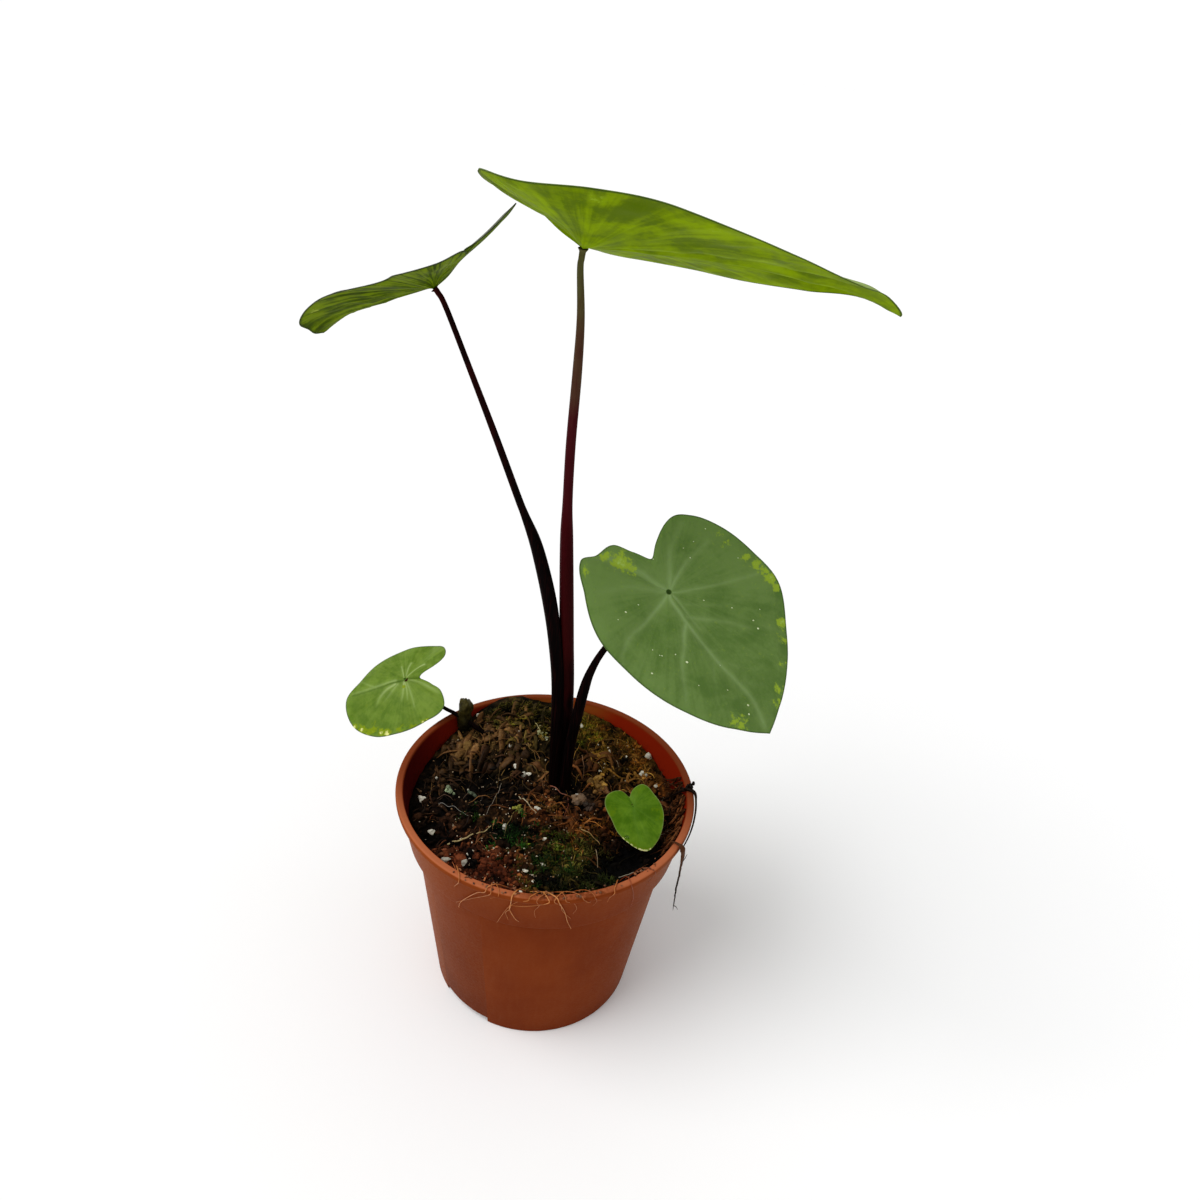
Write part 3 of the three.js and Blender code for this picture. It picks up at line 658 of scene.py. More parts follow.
def spread_veins(leaf):
    """Veins that fan out from the stalk and the midrib, in the form of the veins' tables."""
    margin = leaf["margin"]
    tip = margin_at(margin, 0)[0]
    veins = [(0.9, 0.8, 0.3, [(0, 0), (tip * 0.5, 0), (tip * 0.96, 0)])]
    for side in (1, -1):
        for degrees, strength in ((150, 0.45), (126, 0.6), (96, 0.5), (68, 0.5)):
            goal = leaf_plane(margin, side * degrees, 0.95)
            bow = np.array([goal[1], -goal[0]]) * 0.07 * side
            veins.append((1.0, strength, 0.1, [(0, 0), goal * 0.5 + bow, goal]))
        for start, degrees in ((0.14, 47), (0.27, 33), (0.4, 23), (0.54, 16), (0.68, 10.5)):
            goal = leaf_plane(margin, side * degrees, 0.95)
            root = np.array([tip * start, 0])
            bow = np.array([-0.02, 0.05 * side]) * tip
            veins.append((0.8, 0.45, 0.1, [root, (root + goal) / 2 + bow, goal]))
    return veins


def leaf_plane(margin, degrees, share):
    """Place in the leaf's plane at an angle from the tip and a share of the reach."""
    reach = margin_at(margin, degrees)[0] * share
    return np.array([math.cos(math.radians(degrees)), math.sin(math.radians(degrees))]) * reach


def vein_strength(flat, veins):
    """Light veins, painted shade along creases and the distance to the nearest, for points in the
    leaf's plane.
    """
    nearest = np.full(len(flat), 1e9)
    light = np.zeros(len(flat))
    dark = np.zeros(len(flat))
    for half, first, last, points in veins:
        line = curve_through(points, 8)
        count = len(line) - 1
        for step, (a, b) in enumerate(zip(line, line[1:])):
            along = b - a
            t = np.clip((flat - a) @ along / (along @ along), 0, 1)
            distance = np.linalg.norm(flat - a - t[:, None] * along, axis=1)
            strength = first + (last - first) * (step + t) / count
            core = np.exp(-((distance / half) ** 2))
            halo = np.exp(-((distance / (half * 2.6)) ** 2))
            here = (0.72 * core + 0.28 * halo) * abs(strength)
            nearest = np.minimum(nearest, distance)
            if first > 0:
                light = np.maximum(light, here)
            else:
                dark = np.maximum(dark, here)
    return light, dark, nearest


def shade_at(flat, shades):
    """How much lighter (above zero) or darker each place in the leaf's plane is."""
    total = np.zeros(len(flat))
    for x, y, length, width, degrees, amount in shades:
        turn = math.radians(degrees)
        along = (flat - (x, y)) @ (math.cos(turn), math.sin(turn))
        across = (flat - (x, y)) @ (-math.sin(turn), math.cos(turn))
        total += amount * np.exp(-((along / length) ** 2) - (across / width) ** 2)
    return np.clip(total, -1, 1)


def leaf_margin(leaf, sides):
    """Degrees from the tip, with the margin's reach and rise there."""
    degrees = 360 * np.arange(sides) / sides
    border = np.array([margin_at(leaf["margin"], d) for d in degrees])
    cusp_at, longer, higher = leaf.get("cusp", (0, 0, 0))
    gap = np.abs((degrees - cusp_at + 180) % 360 - 180)
    return degrees, border + np.exp(-gap / CUSP_WIDTH)[:, None] * (longer, higher)


def leaf_surface(leaf, share, angle, border):
    """The blade's middle, before ripple and veins, at shares of the reach and angles."""
    forward = np.maximum(np.cos(angle), 0)
    left, right = leaf.get("lobes", (0, 0))
    lobe = left * np.maximum(np.sin(angle), 0) - right * np.minimum(np.sin(angle), 0)
    lobe = lobe * np.maximum(-np.cos(angle), 0) * LOBE_SCALE
    rounding = HEART_ROUNDING * (0.4 + 0.6 * smooth(np.cos(angle), -0.6, 0.2))
    climb = (np.hypot(share, rounding) - rounding) / (np.hypot(1, rounding) - rounding)
    swell = leaf.get("swell", 1)
    arch = leaf["arch"] * forward**2 * (swell + 1) ** (swell + 1) / swell**swell
    arch = arch * share**swell * (1 - share) + lobe * share * (1 - share) ** 3
    hook_from = leaf.get("hook_from", HOOK_FROM)
    bend = np.maximum((share - hook_from) / (1 - hook_from), 0) ** 2
    hook = leaf["hook"] * bend * forward**HOOK_NARROWNESS
    x = border[None, :, 0] * share * np.cos(angle)
    y = border[None, :, 0] * share * np.sin(angle)
    return np.stack([x, y, border[None, :, 1] * climb + arch - hook], -1)


def blade_faces(sides, rings):
    """Faces of a closed blade and the finish that each takes: 0 above and at the margin, 1 below.

    Each side of the blade has a hub point and then its rings, the upper side first.
    """
    count = sides * rings
    first = count + 2
    last = 1 + (rings - 1) * sides
    low = first + (rings - 1) * sides
    ring = [(side, (side + 1) % sides) for side in range(sides)]
    upper = [(0, 1 + side, 1 + following) for side, following in ring]
    upper += [face[::-1] for face in ring_faces(rings, sides, 1)]
    under = [(count + 1, first + following, first + side) for side, following in ring]
    under += ring_faces(rings, sides, first)
    edge = [(last + a, low + a, low + b, last + b) for a, b in ring]
    return upper + under + edge, [0] * len(upper) + [1] * len(under) + [0] * sides


def patch_at(flat, patches):
    """How strongly each place in the leaf's plane is variegated."""
    patch = np.zeros(len(flat))
    for x, y, radius, strength in patches:
        gap = np.hypot(flat[:, 0] - x, flat[:, 1] - y)
        patch = np.maximum(patch, strength * np.exp(-((gap / radius) ** 2)))
    return patch


def make_leaf(name, sides, rings, finishes, relief, veins):
    """A blade with veins, thin at its margin. finishes are its upper and its under side.

    Returns the places in the leaf's plane with the points and normals of the upper side.
    """
    leaf = LEAVES[name]
    degrees, border = leaf_margin(leaf, sides)
    angle = np.radians(degrees)[None]
    share = ((np.arange(rings) + 1) / rings)[:, None]
    share = share * (1.25 - 0.25 * share)
    middle = leaf_surface(leaf, share, angle, border)
    flat = middle[..., :2].reshape(-1, 2)
    flat3 = np.c_[flat, np.zeros(len(flat))]
    light, dark, away = vein_strength(flat, veins)
    to_edge = (border[None, :, 0] * (1 - share)).reshape(-1)

    along = leaf_surface(leaf, share + 0.01, angle, border)
    along = along - leaf_surface(leaf, share - 0.01, angle, border)
    across = np.roll(middle, -1, axis=1) - np.roll(middle, 1, axis=1)
    normal = unit(np.cross(along, across)).reshape(-1, 3)
    ripple = grain(flat3, 7, 3) * relief["ripple"]
    quilt = relief["quilt"] * (1 - np.exp(-away / 3.5)) * smooth(to_edge, 0, 5)
    lift = (ripple * smooth(to_edge, -1, 6) + quilt)[:, None]
    body = middle.reshape(-1, 3) + normal * lift
    half = (relief["thickness"] / 2 * (0.45 + 0.55 * smooth(to_edge, 0, 4)))[:, None]
    cut = np.maximum(light, dark)[:, None]
    upper = body + normal * (half - relief["groove"] * cut)
    under = body - normal * (half + relief["rib"] * cut)
    hub = [[0, 0, relief["thickness"] / 2 - relief["groove"]]]
    hub_under = [[0, 0, -relief["thickness"] / 2 - relief["rib"]]]

    turn = leaf_turn(leaf).T
    place = np.vstack([hub, upper, hub_under, under]) @ turn + leaf["at"]
    faces, finish_of = blade_faces(sides, rings)
    piece = make_piece(
        "blade_" + name, place, faces, finishes, ["leaf_" + name], finish_of
    )

    def field(label, values, hub_value):
        add_field(piece, label, np.concatenate([[hub_value], values, [hub_value], values]))

    fan = [np.broadcast_to(value, (rings, sides)).reshape(-1) for value in (angle, share)]
    field("flat", flat3, (0, 0, 0))
    field("fan", np.c_[np.cos(fan[0]), np.sin(fan[0]), fan[1]], (0, 0, 0))
    field("vein", light, 1)
    field("crease_shade", dark, 0)
    field("to_edge", to_edge, 20)
    field("shade", shade_at(flat, SHADES[name]), 0)
    field("patch", patch_at(flat, PATCHES[name]), 0)
    return flat, upper @ turn + leaf["at"], normal @ turn


def leaf_finish(name, look):
    """Mottled blade with veins, variegation near named places and a darker edge."""
    m = Finish(name, look["roughness"], Specular_IOR_Level=look["gloss"])
    m.shader.inputs["Subsurface Weight"].default_value = look["glow"]
    m.shader.inputs["Subsurface Radius"].default_value = (0.6, 1.0, 0.15)
    m.shader.inputs["Subsurface Scale"].default_value = 1.2 * MM
    flat = m.field("flat", "Vector")
    fan = m.field("fan", "Vector")
    mottle = m.noise(flat, look["mottle_size"], 4, 0.55, 0.5)
    streak = m.noise(m.stretch(fan, (16, 16, 1.5)), 1, 3, 0.55)
    fine = m.noise(flat, 1.4, 3, 0.6)
    # Broad lighter and darker places: partly the blade's own tone, partly painted light and shade
    # from its folds.
    tone = m.plus(m.ease(mottle, 0.3, 0.7, -0.24, 0.24), m.times(m.field("shade"), 0.42))
    tone = m.plus(tone, m.ease(streak, 0.3, 0.7, -look["streak"], look["streak"]))
    tone = m.plus(tone, m.ease(fine, 0.3, 0.7, -0.07, 0.07))
    tone = m.plus(tone, 0.5)
    body = m.mix(m.ease(tone, 0.0, 1.0), look["deep"], look["light"])
    body = m.mix(m.times(m.field("vein"), look["vein_share"]), body, look["vein"])
    # Painted shade along the creases, in the crease shade colour.
    body = m.mix(m.times(m.field("crease_shade"), 0.85), body, look["crease_shade"])
    ragged = m.ease(m.noise(flat, 2.2, 4, 0.7), 0.3, 0.7, -0.35, 0.35)
    patched = m.plus(m.field("patch"), ragged)
    body = m.mix(m.ease(patched, 0.25, 0.6, 0, 0.9), body, look["patch"])
    body = m.mix(m.ease(patched, 0.8, 1.15), body, look["cream"])
    edge = m.ease(m.field("to_edge"), look["edge_width"], 0.1, 0, look["edge_share"])
    edge = m.times(edge, m.ease(m.field("patch"), 0.5, 0.9, 1, 0.25))
    body = m.mix(edge, body, look["edge"])
    # Painted shade in the dip at the stalk's hub, in the crease shade colour.
    hub = m.node("ShaderNodeVectorMath", "Value", {0: flat}, operation="LENGTH")
    body = m.mix(m.ease(hub, look["hub_radius"], look["hub_radius"] * 0.6), body, look["crease_shade"])
    relief = m.plus(m.times(m.noise(flat, 0.5, 3), 0.35), m.times(mottle, 0.8))
    relief = m.plus(relief, m.times(streak, 0.5))
    rough = m.ease(mottle, 0.3, 0.7, look["roughness"] - 0.06, look["roughness"] + 0.06)
    return m.finish(body, rough, m.bump(relief, 0.08, 0.6))


TALL_UNDER = {
    "deep": "#536800", "light": "#7f9900", "patch": "#86a022",
    "cream": "#b0bf60", "vein": "#7f9a1c", "vein_share": 0.22, "streak": 0.18,
    "crease_shade": "#40520a", "edge": "#36421c", "edge_share": 0.85,
    "edge_width": 1.3, "mottle_size": 9, "roughness": 0.6, "gloss": 0.02, "glow": 0.2,
    "hub_radius": 0.6,
}
# Painted sheen: the tall leaf's upper side is paler than its under side, as light glances off it.
TALL_UPPER = {
    **TALL_UNDER, "deep": "#6f8438", "light": "#95a964",
    "vein": "#a3b070", "edge": "#4a5a2c",
}
LEFT_UNDER = {
    **TALL_UNDER, "deep": "#354300", "light": "#667a0c", "streak": 0.5,
    "vein": "#667c18", "patch": "#8c9c38", "edge": "#2c3616",
    "mottle_size": 7,
}
# Painted sheen: the left leaf's upper side is grey, as light glances off it at a low angle.
LEFT_UPPER = {
    **LEFT_UNDER, "deep": "#545648", "light": "#75796a",
    "vein": "#7a7e6c", "streak": 0.3, "edge": "#3c3c38", "patch": "#7c806e",
}
RIGHT_UPPER = {
    "deep": "#516a34", "light": "#667f46", "patch": "#8ea634",
    "cream": "#9cb860", "vein": "#88a06a", "vein_share": 0.75, "streak": 0.1,
    "crease_shade": "#32461a", "edge": "#3c4c2c", "edge_share": 0.75,
    "edge_width": 0.8, "mottle_size": 10, "roughness": 0.55, "gloss": 0.12, "glow": 0.1,
    "hub_radius": 1.35,
}
RIGHT_UNDER = {**RIGHT_UPPER, "deep": "#5f7f2c", "light": "#86a24a"}
LOW_UPPER = {
    **RIGHT_UPPER, "deep": "#506c1c", "light": "#6f8836",
    "vein": "#b4c880", "crease_shade": "#34500c", "patch": "#7c8e10",
    "cream": "#dcdc8c", "edge": "#42503c", "edge_width": 0.7,
    "mottle_size": 5, "vein_share": 0.7, "hub_radius": 0.7,
}
YOUNG_UPPER = {
    **RIGHT_UPPER, "deep": "#405e0a", "light": "#5c7c20",
    "vein": "#587a2e", "patch": "#567008", "cream": "#c4c68c",
    "edge": "#7a8658", "edge_width": 0.5, "edge_share": 0.6, "vein_share": 0.7,
    "roughness": 0.5, "mottle_size": 5, "hub_radius": 0.3,
}
BIG_RELIEF = {"ripple": 0.3, "quilt": 0.3, "thickness": 0.55, "groove": 0.1, "rib": 0.15}
SMALL_RELIEF = {"ripple": 0.12, "quilt": 0.15, "thickness": 0.45, "groove": 0.07, "rib": 0.1}


def set_on(surface, x, y, points):
    """Points moved to a place in a leaf's plane, with their own z along the leaf's normal."""
    flat, places, normals = surface
    here = int(np.argmin(np.hypot(flat[:, 0] - x, flat[:, 1] - y)))
    up = normals[here]
    across = unit(np.cross(up, (0.3, 0.8, 0.5)))
    return points @ np.array([across, np.cross(up, across), up]) + places[here]


def make_flecks(surface, material):
    """Raised pale flecks on the right blade."""
    heap = Heap()
    for x, y, size in FLECKS:
        points, faces = ball(8, 12)
        points = points * (size, size * random.uniform(0.6, 1), 0.12)
        heap.add(set_on(surface, x, y, points), faces, linear("#d3deb4"))
    heap.build("blade_flecks", material)


def fleck_finish():
    m = Finish("fleck", 0.6, Specular_IOR_Level=0.2)
    cloud = m.noise(m.place(), 0.4, 3)
    tone = m.field("tone", "Color")
    dark = m.mix(1.0, tone, (0.8, 0.8, 0.7), "MULTIPLY")
    return m.finish(m.mix(m.ease(cloud, 0.4, 0.6), dark, tone), None, m.bump(cloud, 0.05))


fleck_look = fleck_finish()
TALL_VEINS = spread_veins(LEAVES["tall"])
LEFT_VEINS = spread_veins(LEAVES["left"])
tall_upper = leaf_finish("leaf_tall_upper", TALL_UPPER)
tall_looks = [tall_upper, leaf_finish("leaf_tall_under", TALL_UNDER)]
left_upper = leaf_finish("leaf_left_upper", LEFT_UPPER)
left_looks = [left_upper, leaf_finish("leaf_left_under", LEFT_UNDER)]
matte_under = leaf_finish("leaf_matte_under", RIGHT_UNDER)
right_looks = [leaf_finish("leaf_right_upper", RIGHT_UPPER), matte_under]
low_looks = [leaf_finish("leaf_low_upper", LOW_UPPER), matte_under]
young_looks = [leaf_finish("leaf_young_upper", YOUNG_UPPER), matte_under]

make_leaf("tall", 320, 80, tall_looks, BIG_RELIEF, TALL_VEINS)
make_leaf("left", 280, 70, left_looks, BIG_RELIEF, LEFT_VEINS)
right_surface = make_leaf("right", 380, 95, right_looks, BIG_RELIEF, RIGHT_VEINS)
make_leaf("low", 270, 72, low_looks, SMALL_RELIEF, LOW_VEINS)
young_surface = make_leaf("young", 200, 50, young_looks, SMALL_RELIEF, YOUNG_VEINS)
make_flecks(right_surface, fleck_look)


# Stalks


def stalk_finish():
    """Waxy skin: near black at the soil, maroon above it and olive under the blade."""
    m = Finish("stalk_skin", 0.5, Specular_IOR_Level=0.04)
    place = m.place()
    streaks = m.noise(m.stretch(place, (2.2, 2.2, 0.06)), 1, 4, 0.6)
    blotches = m.noise(m.stretch(place, (1, 1, 0.35)), 5, 3)
    climb = m.plus(m.field("climb"), m.ease(blotches, 0.3, 0.7, -0.05, 0.05))
    skin = m.ramp(
        climb,
        [
            (0.0, "#080404"), (0.17, "#0c0505"), (0.3, "#380e0e"),
            (0.52, "#3c0810"), (0.74, "#46181e"), (0.86, "#503c2e"),
            (1.0, "#565436"),
        ],
    )
    skin = m.mix(m.ease(streaks, 0.45, 0.7, 0, 0.35), skin, "#3c1414")
    relief = m.noise(m.stretch(place, (5, 5, 0.12)), 1, 3)
    return m.finish(skin, m.ease(streaks, 0.3, 0.7, 0.42, 0.58), m.bump(relief, 0.05, 0.6))


def make_stalk(name, finish, sides=28, steps=10):
    """A ribbed stalk that clasps its neighbours up to where its sheath ends."""
    sheath_end, sheath_turn, limit = SHEATHS[name]
    path = curve_through(STALKS[name], steps)
    centres = path[:, :3]
    points, faces = tube(centres, 1, sides)
    rings = points.reshape(len(path), sides, 3)
    outward = rings - centres[:, None]
    angles = 2 * np.pi * np.arange(sides) / sides
    ribs = 1 + 0.015 * np.cos(7 * angles)[None]
    lip = np.exp(-(((angles - sheath_turn + np.pi) % (2 * np.pi) - np.pi) / 0.3) ** 2)[None]
    sheath = smooth(sheath_end - centres[:, 2], 0, 12)[:, None]
    flare = 1 + 0.5 * smooth(np.arange(len(path)) / (len(path) - 1), 0.97, 1)[:, None]
    radii = path[:, 3:4] * ribs * flare * (1 + 0.1 * lip * sheath)
    rings = centres[:, None] + outward * radii[..., None]
    piece = make_piece(
        "stalk_" + name, rings.reshape(-1, 3), faces, [finish], ["petiole_" + name]
    )
    climb = (centres[:, 2] - CLIMB_FROM) / (centres[-1, 2] - CLIMB_FROM)
    add_field(piece, "climb", np.clip(np.repeat(climb, sides), 0, 1) * limit)


stalk_skin = stalk_finish()
for stalk_name in STALKS:
    make_stalk(stalk_name, stalk_skin)


# Pot


def rounded(profile, radius, steps=3):
    """The profile with its corners rounded."""
    points = [np.array(p, float) for p in profile]
    result = [points[0]]
    for before, corner, after in zip(points, points[1:], points[2:]):
        back = before - corner
        ahead = after - corner
        cut = min(radius, np.linalg.norm(back) * 0.4, np.linalg.norm(ahead) * 0.4)
        start = corner + unit(back) * cut
        end = corner + unit(ahead) * cut
        for step in range(steps + 1):
            t = step / steps
            result.append((1 - t) ** 2 * start + 2 * t * (1 - t) * corner + t**2 * end)
    result.append(points[-1])
    return result


def revolve(profile, sides):
    """Points and faces of a body of revolution whose profile starts and ends on the axis."""
    rings = np.array(profile[1:-1])
    angles = 2 * np.pi * np.arange(sides) / sides
    x = rings[:, :1] * np.cos(angles)
    y = rings[:, :1] * np.sin(angles)
    z = np.broadcast_to(rings[:, 1:], x.shape)
    body = np.stack([x, y, z], -1).reshape(-1, 3)
    points = np.vstack([[(0, 0, profile[0][1])], body, [(0, 0, profile[-1][1])]])
    return points, capped_faces(len(rings), sides)


def cut_away(piece, cutters):
    """Cuts closed shapes out of a piece for good."""
    for points, faces in cutters:
        mesh = bpy.data.meshes.new("cutter")
        mesh.from_pydata((np.asarray(points) * MM).tolist(), [], faces)
        cutter = bpy.data.objects.new("cutter", mesh)
        bpy.context.scene.collection.objects.link(cutter)
        step = piece.modifiers.new("cut", "BOOLEAN")
        step.object = cutter
        step.operation = "DIFFERENCE"
        step.solver = "EXACT"
        depsgraph = bpy.context.evaluated_depsgraph_get()
        done = bpy.data.meshes.new_from_object(piece.evaluated_get(depsgraph))
        piece.modifiers.clear()
        piece.data = done
        bpy.data.objects.remove(cutter)


def pot_finish():
    """Satin terracotta plastic: faint flow marks, a worn lip and soil dust inside, with painted
    light: lighter left and right sides, a lighter lip top, and a redder inner wall darker on the
    left.
    """
    m = Finish("pot_plastic", 0.5, Specular_IOR_Level=0.025)
    place = m.place()
    height = m.height()
    across = m.node("ShaderNodeSeparateXYZ", "X", {"Vector": place})
    cloud = m.noise(place, 30, 3)
    flow = m.noise(m.stretch(place, (0.5, 0.5, 0.04)), 1, 3)
    fine = m.noise(place, 0.8, 4, 0.7)
    body = m.mix(m.ease(cloud, 0.3, 0.7), "#6c3010", "#773816")
    body = m.mix(m.ease(flow, 0.4, 0.75, 0, 0.2), body, "#7c4226")
    body = m.mix(m.ease(fine, 0.5, 0.8, 0, 0.1), body, "#552510")
    body = m.mix(m.ease(height, 80, 97, 0, 0.4), body, "#82421e")
    # Painted light: the left side lighter where the key light falls on it, the right side lighter
    # with a painted reflection.
    body = m.mix(m.ease(across, -22, -50, 0, 0.55), body, "#8a4420")
    body = m.mix(m.ease(across, 30, 52, 0, 0.45), body, "#8a5840")
    wear = m.ease(m.noise(place, 3.5, 4, 0.65), 0.45, 0.7)
    body = m.mix(m.times(wear, m.ease(height, 98.6, 99.6, 0, 0.5)), body, "#8c4a24")
    depth = m.node("ShaderNodeSeparateXYZ", "Y", {"Vector": place})
    # Painted highlight on the lip's top where it faces the light from above, lighter at the front
    # and darker towards the back.
    lip = m.mix(m.ease(depth, -36, 6), "#ae6446", "#743c26")
    body = m.mix(m.ease(height, 99.3, 99.85, 0, 0.85), body, lip)
    aside = m.math("ABSOLUTE", m.plus(across, -12))
    front = m.times(m.ease(depth, -46, -56), m.ease(aside, 26, 12))
    soiled = m.ease(m.noise(place, 2.5, 4, 0.7), 0.35, 0.6, 0.2, 0.75)
    soiled = m.times(soiled, m.times(front, m.ease(height, 98.8, 99.8)))
    body = m.mix(soiled, body, "#52290f")
    # Painted light on the inner wall: a deeper red for light bounced inside the pot, painted shade
    # on the left where the wall shades itself, and a lighter back where the light falls.
    inner = m.times(m.field("inside"), m.ease(height, 99.9, 98.5))
    wall = m.mix(m.ease(across, -38, -60), "#842a10", "#4a1010")
    wall = m.mix(m.ease(depth, 48, 56, 0, 0.75), wall, "#8a5628")
    body = m.mix(inner, body, wall)
    spots = m.ease(m.cells(place, 9), 0.06, 0.03)
    chosen = m.ease(m.noise(place, 14, 2), 0.6, 0.68)
    body = m.mix(m.times(m.times(spots, chosen), 0.7), body, "#3a1a10")
    dust = m.ease(m.noise(place, 1.6, 4, 0.75), 0.52, 0.72)
    near_soil = m.times(m.field("inside"), m.ease(height, 97, 88, 0, 0.8))
    body = m.mix(m.times(dust, near_soil), body, "#20110b")
    scratch = m.noise(m.stretch(place, (0.9, 0.9, 6)), 1.5, 3)
    rough = m.ease(m.plus(m.times(fine, 0.5), m.times(scratch, 0.5)), 0.35, 0.65, 0.42, 0.58)
    return m.finish(body, rough, m.bump(m.plus(fine, m.times(cloud, 2)), 0.04, 0.4))


def wall_radius(z):
    """Inner radius of the pot's collar."""
    climb = (z - LEDGE_Z) / (POT_HEIGHT - 0.6 - LEDGE_Z)
    return INNER_COLLAR_RADIUS + climb * (INNER_LIP_RADIUS - INNER_COLLAR_RADIUS)


# Pot's profile, from the middle of the foot up the outside and down the inside.
POT_PROFILE = [
    (0, 0), (PAD_RADIUS, 0), (PAD_RADIUS + 2, FOOT_HEIGHT),
    (FOOT_RADIUS - FOOT_WIDTH - 0.8, FOOT_HEIGHT), (FOOT_RADIUS - FOOT_WIDTH, 0),
    (FOOT_RADIUS, 0), (BODY_TOP_RADIUS, COLLAR_FOOT_Z - 0.8),
    (BODY_TOP_RADIUS + 0.8, COLLAR_FOOT_Z - 0.2), (COLLAR_FOOT_RADIUS, COLLAR_FOOT_Z),
    (COLLAR_TOP_RADIUS, POT_HEIGHT - LIP_THICKNESS - 0.6),
    (LIP_RADIUS - 0.1, POT_HEIGHT - LIP_THICKNESS), (LIP_RADIUS, POT_HEIGHT - 0.7),
    (LIP_RADIUS - 0.6, POT_HEIGHT), (INNER_LIP_RADIUS + 0.4, POT_HEIGHT),
    (INNER_LIP_RADIUS, POT_HEIGHT - 0.6), (INNER_COLLAR_RADIUS, LEDGE_Z),
    (INNER_BODY_RADIUS, LEDGE_Z - 0.8), (INNER_FOOT_RADIUS, FOOT_HEIGHT + FLOOR),
    (PAD_RADIUS + 1.2, FOOT_HEIGHT + FLOOR), (PAD_RADIUS - 0.8, FLOOR), (0, FLOOR),
]


def drain_hole(degrees):
    """Closed shape of a drainage hole in the floor."""
    angle = math.radians(degrees)
    centre = np.array([math.cos(angle), math.sin(angle), 0]) * DRAIN_CIRCLE
    line = [centre + (0, 0, FOOT_HEIGHT - 3), centre + (0, 0, FOOT_HEIGHT + 5)]
    return tube(line, DRAIN_RADIUS, 40)


def foot_notch(degrees):
    """Closed shape of a notch in the foot ring."""
    angle = math.radians(degrees)
    out = np.array([math.cos(angle), math.sin(angle), 0])
    along = np.array([-out[1], out[0], 0])
    corners = []
    for radial in (-NOTCH_DEPTH / 2, NOTCH_DEPTH / 2):
        for sideways in (-NOTCH_WIDTH / 2, NOTCH_WIDTH / 2):
            for z in (-NOTCH_HEIGHT, NOTCH_HEIGHT):
                corners.append(out * (FOOT_RADIUS + radial) + along * sideways + (0, 0, z))
    box = [(0, 1, 3, 2), (4, 6, 7, 5), (0, 4, 5, 1), (2, 3, 7, 6), (0, 2, 6, 4), (1, 5, 7, 3)]
    return corners, box


def make_pot():
    points, faces = revolve(rounded(POT_PROFILE, 0.7), 240)
    piece = make_piece("pot_shell", points, faces, [pot_finish()], ["pot"])
    holes = [drain_hole((hole + 0.5) * 360 / DRAIN_COUNT) for hole in range(DRAIN_COUNT)]
    cut_away(piece, holes + [foot_notch(NOTCH_ANGLE), foot_notch(NOTCH_ANGLE + 180)])
    spots = np.array([v.co for v in piece.data.vertices]) / MM
    radius = np.hypot(spots[:, 0], spots[:, 1])
    inside = (radius < wall_radius(spots[:, 2]) + 0.6) & (spots[:, 2] > LEDGE_Z - 1)
    add_field(piece, "inside", inside * 1.0)


make_pot()


# Soil


def soil_top(x, y):
    """Height of the soil, with heaps and hollows, banks at the wall and lumps."""
    x = np.asarray(x, float)
    y = np.asarray(y, float)
    radius = np.hypot(x, y)
    share = np.minimum(radius / INNER_LIP_RADIUS, 1)
    up = y / np.maximum(radius, 1e-6)
    heap = np.where(up > 0, SOIL_BACK_RISE, SOIL_FRONT_RISE) * up**2
    z = SOIL_CENTRE_Z + (SOIL_SIDE_Z + heap - SOIL_CENTRE_Z) * share**2.4
    for cx, cy, spread, height in SOIL_FORMS:
        z = z + height * np.exp(-((x - cx) ** 2 + (y - cy) ** 2) / spread**2 * 1.6)
    degrees = np.degrees(np.arctan2(y, x))
    for centre, width, rise in SOIL_BANKS:
        z = z + rise * smooth(radius, 44, 56) * np.exp(-(((degrees - centre) / width) ** 2))
    lumps = np.sin(0.61 * x + 0.23 * y + 1) * np.sin(0.55 * y - 0.31 * x + 2)
    crumbs = np.sin(1.13 * x - 0.7 * y) * np.sin(0.97 * y + 0.62 * x + 0.8)
    return z + (0.9 * lumps + 0.5 * crumbs) * (1 - 0.6 * share**4)


def top_at(x, y):
    """Height of the soil at one place."""
    return float(soil_top(x, y))


# Crumbs banked up against the wall: degrees, half width in degrees, rise.
SOIL_BANKS = [(118, 21, 3.8), (0, 13, 4.5), (-22, 12, 2.5)]

# Hollows that little light reaches: x, y, radius, how dark.
SOIL_HOLLOWS = [
    (-27, 11, 10, 0.85), (-18, 8, 7, 0.6), (33, -25, 9, 0.9), (24, -28, 7, 0.8), (6.5, 5, 5, 0.85),
    (9, -3, 3.5, 0.8), (1, -31, 5, 0.4), (-49, -13, 7, 0.5), (-34, 47, 6, 0.85),
    (53, -4, 8, 0.3), (28, 20, 5, 0.7), (30, 30, 4, 0.6), (14, 24, 4, 0.75), (-44, 20, 7, 0.5),
    (4, -44, 6, 0.2), (20, -6, 4, 0.5), (-6, -20, 4, 0.5), (-10, 6, 5, 0.5), (0, 30, 5, 0.6),
]
SOIL_TINT = (1.12, 1, 0.92)


def light_at(x, y):
    """Share of light that reaches places on the soil."""
    x = np.atleast_1d(np.asarray(x, float))
    y = np.atleast_1d(np.asarray(y, float))
    spot = np.c_[x, y, np.zeros(len(x))]
    share = 1.27 + 1.15 * grain(spot, 6.5, 61) + 0.85 * grain(spot, 2.7, 62)
    for cx, cy, radius, dark in SOIL_HOLLOWS:
        share = share * (1 - dark * np.exp(-((x - cx) ** 2 + (y - cy) ** 2) / radius**2))
    return np.clip(share, 0.05, 2.8)[:, None] * SOIL_TINT
